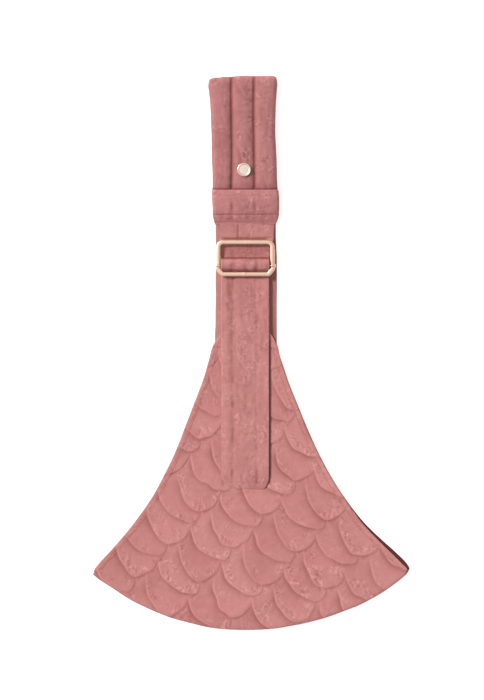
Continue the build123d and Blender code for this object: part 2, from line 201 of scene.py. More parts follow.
def edge(d, r):
    """0 at a border, 1 a distance r inside it, as a quarter circle."""
    q = 1 - np.clip(d / r, 0, 1)
    return np.sqrt(np.clip(1 - q * q, 0, 1))


# ---------------------------------------------------------------------------
# the woven relief: rows of overlapping fan-shaped leaves, in two sizes
# ---------------------------------------------------------------------------
CELL_A = np.array([82.0, -5.0])
CELL_B = np.array([-41.0, -43.3])
LEAF_A = np.array([(-20, -38), (-19.4, -29), (-17.2, -19), (-13, -10.5), (-7.4, -4), (-0.5, -0.2), (6, -1), (12, -3.8),
                   (16.5, -7), (23, -17), (26.5, -30), (25, -48), (10, -60), (-8, -58), (-17.5, -49)], float)
LEAF_B = np.array([(-33, -34), (-31.5, -24), (-28.4, -16), (-23, -9.8), (-16, -4.9), (-8.5, -1.4), (-1, 0.2), (4, 0),
                   (8, -4), (11, -14), (13, -32), (10, -50), (-2, -60), (-20, -56), (-31, -46)], float)
RIM = {"A": 8.2, "B": 6.7}
VEIN_FROM = {"A": (4.0, -50.0), "B": (6.0, -50.0)}
OFFSET_B = np.array([-9.0, 11.0])
PX = 1.29


def relief(x0, y0, x1, y1, step, origin, seed=1):
    """Rasters over a box: height of the relief, painted shade in its creases, tone of each leaf, how ribbed it is and a
    painted highlight along its rims.
    """
    xs = np.arange(x0, x1 + step, step)
    ys = np.arange(y0, y1 + step, step)
    X, Y = np.meshgrid(xs, ys)
    d_in = np.full(X.shape, 30.0)
    e_out = np.full(X.shape, 30.0)
    e_str = np.ones(X.shape)
    tone = np.zeros(X.shape)
    vein = np.zeros(X.shape)
    r = np.random.default_rng(seed)
    span = int((x1 - x0) / 60 + (y1 - y0) / 40) + 6
    leaves = []
    for j in range(-span, span):
        for i in range(-span, span):
            tip = np.array(origin) + i * CELL_A + j * CELL_B
            for kind in ("B", "A"):
                p = tip + (np.array([OFFSET_B[0], -OFFSET_B[1]]) * PX if kind == "B" else 0)
                if x0 - 60 < p[0] < x1 + 60 and y0 - 95 < p[1] < y1 + 25:
                    leaves.append((-j, i, kind, p))
    leaves.sort(key=lambda q: (q[0], q[1], q[2] == "A"))
    soft = np.zeros(X.shape)
    for k, (j, i, kind, p) in enumerate(leaves):
        rr = np.random.default_rng(((int(j) + 60) * 211 + (int(i) + 60)) * 7 + (3 if kind == "A" else 1) + seed * 9176)
        shape = (LEAF_A if kind == "A" else LEAF_B) * [PX, -PX]
        shape = shape * rr.uniform(0.97, 1.03, 2) + rr.normal(0, 0.65, shape.shape)
        turn = rr.normal(0, 0.035)
        rot = np.array([[math.cos(turn), -math.sin(turn)], [math.sin(turn), math.cos(turn)]])
        shape = shape @ rot.T + p + rr.normal(0, 1.0, 2)
        shape = smooth_line(shape, 96, closed=True)
        rim = shape[: int(96 * RIM[kind] / len(LEAF_A)) + 1]
        a0 = max(0, int((shape[:, 0].min() - 14 - x0) / step))
        a1 = min(X.shape[1], int((shape[:, 0].max() + 14 - x0) / step) + 1)
        b0 = max(0, int((shape[:, 1].min() - 14 - y0) / step))
        b1 = min(X.shape[0], int((shape[:, 1].max() + 14 - y0) / step) + 1)
        if a1 <= a0 or b1 <= b0:
            continue
        x, y = X[b0:b1, a0:a1], Y[b0:b1, a0:a1]
        inside = np.zeros(x.shape, bool)
        q = np.roll(shape, -1, axis=0)
        for (ax, ay), (bx, by) in zip(shape, q):
            hit = (ay > y) != (by > y)
            with np.errstate(divide="ignore", invalid="ignore"):
                cross = (bx - ax) * (y - ay) / (by - ay if by != ay else 1e-9) + ax
            inside ^= hit & (x < cross)
        dist = np.full(x.shape, 99.0)
        place = np.zeros(x.shape)
        for m, ((ax, ay), (bx, by)) in enumerate(zip(rim[:-1], rim[1:])):
            vx, vy = bx - ax, by - ay
            t = np.clip(((x - ax) * vx + (y - ay) * vy) / (vx * vx + vy * vy), 0, 1)
            d = np.hypot(x - ax - t * vx, y - ay - t * vy)
            place = np.where(d < dist, (m + t) / (len(rim) - 1), place)
            dist = np.minimum(dist, d)
        # a rim fades in at its upper end and out at its right end
        strong = np.clip(place / 0.14, 0.2, 1) * np.clip((0.97 - place) / (0.46 if kind == "A" else 0.34), 0.0, 1)
        strong = strong * (0.82 + 0.18 * np.sin(place * 9 + rr.uniform(0, 6))) * rr.uniform(0.8, 1.0)
        base = p + np.array(VEIN_FROM[kind]) * [PX, -PX]
        ang = np.arctan2(x - base[0], -(y - base[1]))
        rad = np.hypot(x - base[0], y - base[1])
        # short crinkles that radiate from the leaf's base, in patches; above 0 is a ridge, below 0 a furrow
        kseed = int(rr.integers(1, 9999))
        warp = 0.9 * lattice_noise(x / 6.0, y / 6.0, kseed + 5)
        rays = lattice_noise(ang * 26.0 + warp, rad / 5.2 + warp, kseed)
        bits = lattice_noise(x / 1.65 + 1.6 * warp, y / 1.65 - 1.6 * warp, kseed + 1)
        patch = np.clip(0.42 + 1.6 * lattice_noise(x / 9.0, y / 9.0, kseed + 2), 0, 1)
        near = np.exp(-((dist - rr.uniform(4, 8)) / rr.uniform(5, 9)) ** 2) + 0.7 * rr.random() * np.exp(-((dist - 18) / 9) ** 2)
        ribs = (0.62 * rays + 0.80 * bits) * patch * np.clip(near, 0, 1) * 1.05
        ribs = ribs * np.clip((dist - 0.6) / 1.2, 0, 1) * rr.uniform(0.5, 1.2)
        s = (slice(b0, b1), slice(a0, a1))
        d_in[s] = np.where(inside, dist, d_in[s])
        tone[s] = np.where(inside, rr.normal(0, 1), tone[s])
        vein[s] = np.where(inside, ribs, vein[s])
        soft[s] = np.where(inside, strong, soft[s])
        closer = ~inside & (dist < e_out[s])
        e_str[s] = np.where(inside, 1.0, np.where(closer, strong, e_str[s]))
        e_out[s] = np.where(inside, 30.0, np.minimum(e_out[s], dist))
    height = 0.35 + (1 - np.exp(-d_in / 0.8)) * (0.28 + 0.37 * np.exp(-d_in / 7.0)) + 0.65 * (1 - soft) * np.exp(-d_in / 3.0) * 0.35
    height = height * (1 - 0.85 * e_str * np.exp(-(e_out / 3.6) ** 1.2)) + 0.12 * vein
    # painted shade in the creases outside each covering rim with a broad painted shade beneath it, and a thin painted
    # shade just inside a rim
    crease_shade = e_str * (0.76 * np.exp(-(e_out / 3.4) ** 1.3) + 0.30 * np.exp(-(e_out / 9.5) ** 1.5))
    crease_shade = np.maximum(crease_shade, 0.35 * soft * np.exp(-(d_in / 0.6) ** 1.5))
    rimlight = soft * np.exp(-((d_in - 1.25) / 0.85) ** 2)
    for f in (height, crease_shade):
        f[1:-1, 1:-1] = (f[1:-1, 1:-1] * 4 + f[:-2, 1:-1] + f[2:, 1:-1] + f[1:-1, :-2] + f[1:-1, 2:]) / 8
    for _ in range(3):
        tone[1:-1, 1:-1] = (tone[1:-1, 1:-1] + tone[:-2, 1:-1] + tone[2:, 1:-1] + tone[1:-1, :-2] + tone[1:-1, 2:]) / 5
    return dict(x0=x0, y0=y0, step=step, height=height, crease_shade=crease_shade, tone=tone, vein=vein, rim=rimlight)


def sample(r, key, x, y):
    g = r[key]
    fx = np.clip((x - r["x0"]) / r["step"], 0, g.shape[1] - 1.001)
    fy = np.clip((y - r["y0"]) / r["step"], 0, g.shape[0] - 1.001)
    i, j = fx.astype(int), fy.astype(int)
    fx, fy = fx - i, fy - j
    return ((g[j, i] * (1 - fx) + g[j, i + 1] * fx) * (1 - fy)
            + (g[j + 1, i] * (1 - fx) + g[j + 1, i + 1] * fx) * fy)


TIP = (15.5, -208.6)
FAN = relief(-212, -364, 212, 32, 0.55, TIP, 1)
BACKFAN = relief(-212, -364, 212, 32, 0.9, (30.0, -190.0), 5)
STRAPMAP = relief(-64, -190, 44, 480, 0.6, (2.0, 120.0), 3)


def cloth_attrs(r, x, y, amount=1.0):
    return {"crease_shade": sample(r, "crease_shade", x, y) * amount, "tone": sample(r, "tone", x, y),
            "vein": sample(r, "vein", x, y) * amount, "rim": sample(r, "rim", x, y) * amount}


# ---------------------------------------------------------------------------
# materials
# ---------------------------------------------------------------------------


def lin(r, g, b):
    f = lambda v: v / 12.92 if v <= 0.04045 else ((v + 0.055) / 1.055) ** 2.4
    return (f(r / 255), f(g / 255), f(b / 255), 1.0)


class Nodes:
    def __init__(self, name):
        self.mat = bpy.data.materials.new(name)
        self.mat.use_nodes = True
        self.t = self.mat.node_tree
        self.t.nodes.clear()
        self.out = self.t.nodes.new("ShaderNodeOutputMaterial")
        self.b = self.t.nodes.new("ShaderNodeBsdfPrincipled")
        self.t.links.new(self.b.outputs[0], self.out.inputs[0])

    def new(self, kind, **inputs):
        n = self.t.nodes.new(kind)
        for k, v in inputs.items():
            n.inputs[k.replace("_", " ")].default_value = v
        return n

    def link(self, a, b):
        self.t.links.new(a, b)

    def math(self, op, a, b=None):
        n = self.t.nodes.new("ShaderNodeMath")
        n.operation = op
        for i, v in enumerate((a, b)):
            if v is None:
                continue
            if isinstance(v, (int, float)):
                n.inputs[i].default_value = v
            else:
                self.link(v, n.inputs[i])
        return n.outputs[0]

    def attr(self, name):
        n = self.t.nodes.new("ShaderNodeAttribute")
        n.attribute_name = name
        return n.outputs["Fac"]

    def mix(self, fac, a, b, mode="MIX"):
        n = self.t.nodes.new("ShaderNodeMix")
        n.data_type = "RGBA"
        n.blend_type = mode
        for v, i in ((fac, 0), (a, 6), (b, 7)):
            if isinstance(v, (int, float, tuple)):
                n.inputs[i].default_value = v
            else:
                self.link(v, n.inputs[i])
        return n.outputs[2]


def fabric(name, base, dark, light, weave=1.0, sheen=0.25, mottled=1.0, attrs=True, weave_mm=0.9):
    n = Nodes(name)
    uv = n.t.nodes.new("ShaderNodeUVMap")
    uv.uv_map = "Cloth"
    co = uv.outputs[0]

    def noise(scale_mm, detail=3.0, rough=0.55):
        q = n.new("ShaderNodeTexNoise", Scale=100.0 / scale_mm, Detail=detail, Roughness=rough)
        n.link(co, q.inputs["Vector"])
        return q.outputs["Fac"]

    broad, mid, fine = noise(46), noise(7.0, 4.0, 0.6), noise(1.7, 2.0)
    # crossing threads
    wx = n.new("ShaderNodeTexWave", Scale=100.0 / weave_mm / 6.2832 * 3.1416 / 2, Distortion=1.1, Detail=1.0)
    wx.inputs["Detail Scale"].default_value = 2.0
    wx.bands_direction = "X"
    wy = n.new("ShaderNodeTexWave", Scale=100.0 / weave_mm / 6.2832 * 3.1416 / 2, Distortion=1.1, Detail=1.0)
    wy.inputs["Detail Scale"].default_value = 2.0
    wy.bands_direction = "Y"
    for q in (wx, wy):
        n.link(co, q.inputs["Vector"])
    threads = n.math("MULTIPLY", n.math("ADD", wx.outputs["Fac"], wy.outputs["Fac"]), 0.5)
    col = n.mix(n.math("MAXIMUM", n.math("MULTIPLY", n.math("SUBTRACT", mid, 0.46), 1.1 * mottled), 0.0), base, light)
    shade = n.math("MULTIPLY", n.math("SUBTRACT", 0.52, broad), 0.9 * mottled)
    col = n.mix(n.math("MAXIMUM", n.math("MINIMUM", shade, 0.3), 0.0), col, dark)
    fleck = n.math("MULTIPLY", n.math("MAXIMUM", n.math("SUBTRACT", fine, 0.60), 0.0), 2.2 * mottled)
    col = n.mix(n.math("MINIMUM", fleck, 0.5), col, dark)
    if attrs:
        # from the attributes: crinkle ridges are painted lighter and furrows darker as painted light and shade, rims
        # get a painted highlight, tone shifts the colour lighter or darker, and creases get painted shade
        crease_shade, vein, rim, tone = (n.attr(k) for k in ("crease_shade", "vein", "rim", "tone"))
        up = n.math("MINIMUM", n.math("MAXIMUM", n.math("MULTIPLY", vein, 0.9), 0.0), 0.8)
        col = n.mix(up, col, light)
        down = n.math("MINIMUM", n.math("MAXIMUM", n.math("MULTIPLY", vein, -0.42), 0.0), 0.5)
        col = n.mix(down, col, dark)
        col = n.mix(n.math("MULTIPLY", rim, 0.27), col, light)
        t = n.math("MULTIPLY", tone, 0.05)
        col = n.mix(n.math("MAXIMUM", t, 0.0), col, light)
        col = n.mix(n.math("MAXIMUM", n.math("MULTIPLY", t, -1.0), 0.0), col, dark)
        col = n.mix(n.math("MINIMUM", n.math("MULTIPLY", crease_shade, 0.66), 0.94), col, dark)
    n.link(col, n.b.inputs["Base Color"])
    rough = n.math("ADD", n.math("MULTIPLY", mid, 0.16), 0.74)
    n.link(rough, n.b.inputs["Roughness"])
    n.b.inputs["Sheen Weight"].default_value = sheen
    n.b.inputs["Sheen Roughness"].default_value = 0.45
    n.b.inputs["Sheen Tint"].default_value = light
    n.b.inputs["Specular IOR Level"].default_value = 0.28
    hgt = n.math("ADD", n.math("MULTIPLY", threads, 0.5 * weave), n.math("MULTIPLY", fine, 0.5))
    if attrs:
        hgt = n.math("ADD", hgt, n.math("MULTIPLY", n.attr("vein"), 0.55))
    bump = n.new("ShaderNodeBump", Strength=0.55, Distance=0.00035)
    n.link(hgt, bump.inputs["Height"])
    n.link(bump.outputs[0], n.b.inputs["Normal"])
    return n.mat


def metal(name, base, rough, tint):
    n = Nodes(name)
    tc = n.t.nodes.new("ShaderNodeTexCoord")
    a = n.new("ShaderNodeTexNoise", Scale=900.0, Detail=4.0, Roughness=0.6)
    b = n.new("ShaderNodeTexNoise", Scale=70.0, Detail=3.0)
    for q in (a, b):
        n.link(tc.outputs["Object"], q.inputs["Vector"])
    col = n.mix(n.math("MULTIPLY", n.math("MAXIMUM", n.math("SUBTRACT", b.outputs["Fac"], 0.45), 0.0), 1.6), base, tint)
    n.link(col, n.b.inputs["Base Color"])
    n.b.inputs["Metallic"].default_value = 1.0
    n.link(n.math("ADD", n.math("MULTIPLY", b.outputs["Fac"], 0.10), rough), n.b.inputs["Roughness"])
    bump = n.new("ShaderNodeBump", Strength=0.12, Distance=0.0001)
    n.link(a.outputs["Fac"], bump.inputs["Height"])
    n.link(bump.outputs[0], n.b.inputs["Normal"])
    return n.mat


def scaled(c, k):
    return (c[0] * k[0], c[1] * k[1], c[2] * k[2], 1.0)


# ROSE_DARK is what painted shade in creases, seams and gaps mixes towards, besides the darker mottling; ROSE_LIGHT
# gives the painted highlights on rims and crinkle ridges, the lighter mottling and the sheen tint
ROSE = (0.505, 0.204, 0.194, 1.0)
ROSE_DARK = (0.240, 0.059, 0.053, 1.0)
ROSE_LIGHT = (0.640, 0.318, 0.302, 1.0)


def rose(k, **kw):
    return dict(base=scaled(ROSE, k), dark=scaled(ROSE_DARK, k), light=scaled(ROSE_LIGHT, k), **kw)


M_QUILT = fabric("quilt", **rose((1, 1, 1)))
M_STRAP = fabric("strap_fabric", **rose((0.93, 0.93, 0.94)))
M_CUFF = fabric("cuff_fabric", **rose((0.90, 0.89, 0.91)))
M_PAD = fabric("pad_fabric", **rose((0.81, 0.785, 0.805)))
M_HEM = fabric("hem", **rose((1.02, 1.03, 1.01)))
M_BACK = fabric("strap_back", **rose((0.94, 1.04, 1.02)))
# the lining cloth is very dark partly as painted shade: where it shows between the front and back panels it stands for
# the shade there
M_LINING_AND_SHADE = fabric("lining", (0.098, 0.022, 0.021, 1), (0.040, 0.010, 0.010, 1), (0.140, 0.036, 0.034, 1), attrs=False, weave_mm=0.7, sheen=0.03)
M_BATTING = fabric("batting", lin(238, 236, 230), lin(214, 210, 200), lin(250, 249, 246), attrs=False, weave=0.1, sheen=0.5)
M_TAPE = fabric("tape", lin(222, 208, 198), lin(186, 168, 158), lin(236, 226, 218), attrs=False, weave_mm=1.4, sheen=0.1)
M_THREAD = fabric("thread", **rose((1.06, 1.06, 1.06)), attrs=False, weave_mm=0.5)
M_GOLD = metal("rose_gold", (0.96, 0.66, 0.51, 1), 0.36, (0.98, 0.72, 0.56, 1))
M_BUTTON = metal("button_metal", (0.97, 0.80, 0.68, 1), 0.30, (0.99, 0.87, 0.77, 1))


ENDINGS = {"thread": "_thread", "rose_gold": "_metal", "button_metal": "_metal", "batting": "_filling", "tape": "_tape"}


def done(o, mat, slot, nodes, body=None, blend=None):
    """Gives a piece its material and a name ending from its slot, and hides the CAD nodes it stands for; it is attached
    to the body it moves with, or, when a blend is given, only has its transform baked.
    """
    base_name = o.name.split(".")[0]
    o.name = base_name + ENDINGS.get(slot, "_cloth")
    if not len(o.data.materials):
        o.data.materials.append(mat)
    if nodes:
        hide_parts(*nodes)
    if blend:
        a, b, s, e = blend
        [q * MM for q in s]
        [q * MM for q in e]
        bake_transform(o)
    else:
        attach(o, body)
    return o


# ---------------------------------------------------------------------------
# outlines of the seat pouch
# ---------------------------------------------------------------------------
BACK_LEFT = [(-47.2, 12.0), (-49.6, 6.8), (-54.7, -8.6), (-61.5, -31.9), (-73.1, -62.8), (-85.0, -93.8),
             (-97.0, -124.7), (-111.7, -155.7), (-128.6, -186.7), (-150.2, -217.6), (-169.0, -240.8),
             (-182.8, -256.3), (-197.1, -271.8), (-202.5, -279.5), (-204.6, -286.4)]
BACK_RIGHT = [(33.6, 12.0), (36.3, -0.9), (41.3, -16.4), (49.1, -39.6), (58.4, -62.8), (71.1, -93.8),
              (84.9, -124.7), (101.0, -155.7), (120.7, -186.7), (144.5, -217.6), (168.2, -240.8),
              (185.5, -256.3), (200.9, -271.8), (204.6, -279.5), (200.4, -286.4)]
ARC = [(-204.6, -286.4), (-193.2, -295.0), (-180.9, -302.8), (-157.3, -318.2), (-124.9, -333.7),
       (-104.6, -341.5), (-76.1, -349.2), (-55.2, -354.0), (-34.2, -356.4), (-5.2, -357.3),
       (31.1, -355.6), (56.5, -351.4), (68.1, -349.2), (97.5, -341.5), (119.1, -333.7), (139.1, -326.0),
       (168.0, -310.5), (190.1, -295.0), (200.4, -286.4)]
FRONT_LEFT = [(-38.4, 27.0), (-43.5, 19.0)] + [(-49.4, 8.0)] + [(x + 0.8, y) for x, y in BACK_LEFT[2:]]
FRONT_RIGHT = [(24.4, 27.0), (30.0, 18.0), (33.9, 9.0), (36.1, -0.9)]
for x, y in BACK_RIGHT[2:]:
    # towards the tip the front's edge lies inside the back's, and the very dark lining cloth of the back's hem shows
    # between them as painted shade
    inset = float(np.interp(-y, [186.7, 217.6, 240.8, 256.3, 271.8, 279.5, 286.4], [0.3, 2.2, 4.5, 6.0, 5.7, 2.5, 0.3]))
    FRONT_RIGHT.append((x - 0.7 - inset, y))


def coons(left, right, top, bottom, u, v):
    """A grid of (row, column) points that fills four curves; rows run from top to bottom."""
    L, R = at_params(left, v), at_params(right, v)
    T, B = at_params(top, u), at_params(bottom, u)
    uu, vv = u[None, :, None], v[:, None, None]
    p = (1 - vv) * T[None] + vv * B[None] + (1 - uu) * L[:, None] + uu * R[:, None]
    p = p - ((1 - uu) * (1 - vv) * T[0] + uu * (1 - vv) * T[-1] + (1 - uu) * vv * B[0] + uu * vv * B[-1])
    return p


def border_distance(p):
    """Distances of grid points from the left, right, top and bottom borders."""
    n, m = p.shape[:2]
    dl = np.linalg.norm(p - p[:, :1], axis=2)
    dr = np.linalg.norm(p - p[:, -1:], axis=2)
    dt = np.linalg.norm(p - p[:1], axis=2)
    db = np.linalg.norm(p - p[-1:], axis=2)
    return dl, dr, dt, db


arc = smooth_line(ARC, 900)
fl, fr = smooth_line(FRONT_LEFT, 900), smooth_line(FRONT_RIGHT, 900)
bl, br = smooth_line(BACK_LEFT, 900), smooth_line(BACK_RIGHT, 900)
fine = 1.0
NU, NV = int(420 * fine), int(350 * fine)
FRONT_BLEND = ("back", "front", (0, -300, 0), (0, -70, 0))


def sag(x, y):
    """Slow rise and fall of the front panel, in mm."""
    calm = 1 - np.exp(-(((x + 7) / 60) ** 2))            # pressed flat under the free end
    calm = np.where(y < -180, 1.0, calm)
    return 0.75 * wave_noise(x, y, 120, 11, 2) * (0.25 + 0.75 * calm)


def bed(x, y):
    """1 where the strap's free end presses the front panel down."""
    a = np.clip((32.5 - np.abs(x + 7.0)) / 6.0, 0, 1)
    b = np.clip((y + 177.0) / 8.0, 0, 1)
    return a * a * (3 - 2 * a) * b * b * (3 - 2 * b)


def front_height(x, y, d_arc):
    """Height of the front panel's upper face."""
    k = bed(x, y)
    h = 5.25 + 1.7 * (1 - 0.6 * k) * sample(FAN, "height", x, y) + sag(x, y) - 0.45 * k
    g = 1 - np.exp(-np.clip(d_arc, 0, None) / 3.0)
    return 4.7 + (h - 4.7) * g


u = graded(NU, 390.0, (0.5, 1.1, 1.9, 3.0))
v = graded(NV, 400.0, (0.5, 1.1, 1.9, 3.0))
top_line = np.linspace(FRONT_LEFT[0], FRONT_RIGHT[0], 900)
P = coons(fl, fr, top_line, arc + [0, 0.2], u, v)
dl, dr, dt, db = border_distance(P)
x, y = P[..., 0], P[..., 1]
z_top = front_height(x, y, db)
side = np.minimum(dl, dr)
e = np.minimum(edge(side, 1.6), edge(np.minimum(dt, db), 1.3))
z_low = 2.15 + 2.15 * (1 - np.exp(-db / 9.0))
z_mid = (z_top + z_low) / 2
top = np.dstack([x, y, z_mid + (z_top - z_mid) * e])
low = np.dstack([x, y, z_mid - (z_mid - z_low) * e])
attrs = cloth_attrs(FAN, x, y)
# the painted crease shade fades out towards the neck, and a painted shadow runs beside the free end's right edge
attrs["crease_shade"] = attrs["crease_shade"] * (1 - 0.55 * np.clip((y + 95.0) / 70.0, 0, 1))
edge_shadow = np.exp(-((x - 23.9) / 1.5) ** 2) * np.clip((y + 172.0) / 6.0, 0, 1) * np.clip((20.0 - y) / 6.0, 0, 1)
attrs["crease_shade"] = np.maximum(attrs["crease_shade"], 1.25 * edge_shadow)
# lighter towards the lower seam, painted light against the shade of the rounded edge; darker towards the left tip
attrs["tone"] = attrs["tone"] + 2.0 * np.exp(-(db / 7.0) ** 2)
attrs["tone"] = attrs["tone"] - 2.6 * np.clip((-135.0 - x) / 60.0, 0, 1)
front_outer = shell("front_panel_outer", top, low, P, attrs, stride=4)
done(front_outer, M_QUILT, "quilt", ["front_panel_outer"], blend=FRONT_BLEND)


def panel(name, left, right, topa, arc_line, z0, z1, mat, slot, node, body=None, blend=None, n=150, r=0.5,
          rmap=None, relief_mm=0.0, seam_z=None):
    """A plain or patterned panel between two heights; a pattern goes on its underside."""
    uu, vv = graded(n, 390.0, (0.6, 1.5)), graded(n, 400.0, (0.6, 1.5))
    line = np.linspace(topa[0], topa[1], 900)
    p = coons(left, right, line, arc_line, uu, vv)
    a, b, c, d = border_distance(p)
    px, py = p[..., 0], p[..., 1]
    e_ = np.minimum(edge(np.minimum(a, b), r), edge(np.minimum(c, d), r))
    lift = np.zeros_like(px)
    if seam_z is not None:
        lift = (seam_z - (z0 + z1) / 2) * np.exp(-d / 5.0)
    zt = z1 + lift
    zb = z0 + lift
    at, la = {}, {}
    if rmap is not None:
        h = sample(rmap, "height", px, py)
        zb = zb + relief_mm * (1 - h)
        la = cloth_attrs(rmap, px, py)
        at = {k: q * 0.0 for k, q in la.items()}
    zm = (zt + zb) / 2
    t_ = np.dstack([px, py, zm + (zt - zm) * e_])
    b_ = np.dstack([px, py, zm - (zm - zb) * e_])
    o = shell(name, t_, b_, p, at, low_attrs=la)
    return done(o, mat, slot, node, body, blend)


panel("front_panel_lining", fl + [1.6, 0], fr + [-1.6, 0], [(-37.0, 26.0), (23.0, 26.0)],
      arc * [0.985, 1.0] + [0, 3.2], 3.55, 4.15, M_LINING_AND_SHADE, "lining", ["front_panel_lining"], blend=FRONT_BLEND, n=110)
back_outer = panel("back_panel_outer", bl, br, [BACK_LEFT[0], BACK_RIGHT[0]], arc + [0, 0.25], 0.0, 1.55, M_QUILT, "quilt",
                   ["back_panel_outer"], body="back", n=int(300 * fine), r=0.9, rmap=BACKFAN, relief_mm=0.75, seam_z=1.2)
panel("back_panel_lining", bl + [1.2, 0], br + [-1.2, 0], [(-46.0, 11.0), (32.4, 11.0)], arc * [0.99, 1.0] + [0, 2.6],
      1.65, 2.2, M_LINING_AND_SHADE, "lining", ["back_panel_lining"], body="back", n=110)

# ---------------------------------------------------------------------------
# stitches, hems and the seam allowance
# ---------------------------------------------------------------------------


def stitch_mesh(points, dirs, up, length, radius, height):
    """Verts and faces of one small stitch at each point: a low rounded bar along its direction."""
    verts, faces, uvs = [], [], []
    s = np.array([-0.5, -0.36, 0.0, 0.36, 0.5]) * length
    w = np.array([0.35, 0.9, 1.0, 0.9, 0.35])
    ring = np.linspace(0, 2 * math.pi, 8, endpoint=False)
    for p, d, k in zip(points, dirs, up):
        d = d / np.linalg.norm(d)
        side_ = np.cross(k, d)
        side_ /= np.linalg.norm(side_)
        k2 = np.cross(d, side_)
        base = len(verts)
        for a, q in zip(s, w):
            for r_ in ring:
                verts.append(p + d * a + side_ * math.cos(r_) * radius * q + k2 * math.sin(r_) * height * q)
                uvs.append((p[0] + a, p[1] + r_))
        for i in range(len(s) - 1):
            for j in range(8):
                faces.append((base + i * 8 + j, base + i * 8 + (j + 1) % 8, base + (i + 1) * 8 + (j + 1) % 8, base + (i + 1) * 8 + j))
        faces.append(tuple(base + j for j in range(7, -1, -1)))
        faces.append(tuple(base + (len(s) - 1) * 8 + j for j in range(8)))
    return np.array(verts), faces, np.array(uvs)


def join_meshes(name, parts):
    """One object from several (verts, faces, uvs, material index) parts."""
    verts, faces, uvs, mats, base = [], [], [], [], 0
    for p, f, q, m in parts:
        verts.append(p)
        uvs.append(q)
        faces += [tuple(i + base for i in g) for g in f]
        mats += [m] * len(f)
        base += len(p)
    o = build(name, np.vstack(verts), faces, np.vstack(uvs))
    if len(o.data.polygons) == len(mats):
        o.data.polygons.foreach_set("material_index", np.array(mats, np.int32))
    return o


def mesh_parts(o):
    """(verts in mm, faces, uvs) of an object made by build, which is then removed."""
    m = o.data
    p = np.empty(len(m.vertices) * 3, np.float32)
    m.vertices.foreach_get("co", p)
    faces = [tuple(q.vertices) for q in m.polygons]
    uvs = np.zeros((len(m.vertices), 2))
    layer = m.uv_layers[0].data
    for q in m.loops:
        uvs[q.vertex_index] = layer[q.index].uv
    bpy.data.objects.remove(o)
    return p.reshape(-1, 3).astype(float) / MM, faces, uvs * 100.0


def hem(name, line, sign, z_of, width, thick, lowz, mat, slot, node, body=None, blend=None, stitch_at=5.6, n=420, t0=0.02, t1=0.985, rmap=None):
    """A turned hem that follows an edge, wraps it and is topstitched."""
    c = at_params(line, np.linspace(t0, t1, n))
    nn = normals2(c) * sign
    across = np.array([-0.7, -0.45, 0.0, 0.7, 1.6, 2.8, 4.2, stitch_at - 0.7, stitch_at, stitch_at + 0.7, width - 0.5, width])
    px = c[:, None, 0] + nn[:, None, 0] * across[None]
    py = c[:, None, 1] + nn[:, None, 1] * across[None]
    seat = z_of(px, py)
    w = across - across[0]
    total = width - across[0]
    round_ = np.minimum(edge(w, 1.5), edge(total - w, 0.6))[None]
    groove = 0.28 * np.exp(-((across - stitch_at) / 0.7) ** 2)[None]
    along = np.linspace(0, 1, n)[:, None]
    wob = 0.16 * wave_noise(along * 300, across[None] * 3, 16, 23, 2)
    zt = seat + thick + wob - groove
    zb = np.broadcast_to(np.where(across < 0.8, lowz, seat - 0.05), zt.shape) if lowz is not None else seat - 0.05
    zm = (zt + zb) / 2
    ends = edge(np.minimum(np.linspace(0, 1, n), np.linspace(1, 0, n)) * 330, 1.0)[:, None]
    round_ = round_ * ends
    t_ = np.dstack([px, py, zm + (zt - zm) * round_])
    b_ = np.dstack([px, py, zm - (zm - zb) * round_])
    uvg = np.dstack([np.broadcast_to(along * 330, px.shape), np.broadcast_to(across[None], px.shape)])
    o = shell(name + "_body", t_, b_, uvg, {}, flip=(sign < 0))
    parts = [mesh_parts(o) + (0,)]
    here, parts_uv = parts[0][0], parts[0][2]
    if stitch_at:
        length = np.linalg.norm(np.diff(c, axis=0), axis=1).sum()
        k = int(length / 3.5)
        at = np.linspace(0.01, 0.99, k)
        q = at_params(c, at)
        qn = at_params(nn, at)
        zz = z_of(q[:, 0] + qn[:, 0] * stitch_at, q[:, 1] + qn[:, 1] * stitch_at) + thick - 0.22
        pts = np.column_stack([q + qn * stitch_at, zz])
        dirs = np.column_stack([np.gradient(q, axis=0), np.gradient(zz)])
        parts.append(stitch_mesh(pts, dirs, np.tile([0, 0, 1.0], (k, 1)), 2.5, 0.36, 0.26) + (1,))
    o = join_meshes(name, parts)
    if rmap is not None:
        kept = cloth_attrs(rmap, here[:, 0], here[:, 1], 0.6)
        row = parts_uv[:, 1]
        dots = 0.55 + 0.45 * lattice_noise(parts_uv[:, 0] / 2.1, parts_uv[:, 0] * 0, 77)
        # painted shade along the stitch groove and at the hem's turned edge
        kept["crease_shade"] = np.maximum(kept["crease_shade"], 1.2 * dots * np.exp(-((row - stitch_at) / 1.0) ** 2))
        kept["crease_shade"] = np.maximum(kept["crease_shade"], 0.5 * np.exp(-((row - width) / 0.6) ** 2))
        kept["vein"] = kept["vein"] + 0.5 * np.exp(-((row - stitch_at + 1.6) / 0.8) ** 2) * lattice_noise(parts_uv[:, 0] / 3.0, row * 0, 78)
        for key, values in kept.items():
            a_ = o.data.attributes.new(key, "FLOAT", "POINT")
            full = np.zeros(len(o.data.vertices), np.float32)
            full[: len(here)] = values
            a_.data.foreach_set("value", full)
    o.data.materials.append(mat)
    o.data.materials.append(M_THREAD)
    return done(o, mat, slot, node, body, blend)


def front_seat(px, py):
    d = np.full(px.shape, 1e3)
    if px.ndim == 2:
        for i in range(0, len(arc), 12):
            d = np.minimum(d, np.hypot(px - arc[i, 0], py - arc[i, 1]))
    else:
        for i in range(0, len(arc), 6):
            d = np.minimum(d, np.hypot(px - arc[i, 0], py - arc[i, 1]))
    return front_height(px, py, d) - 0.55 * sample(FAN, "height", px, py)


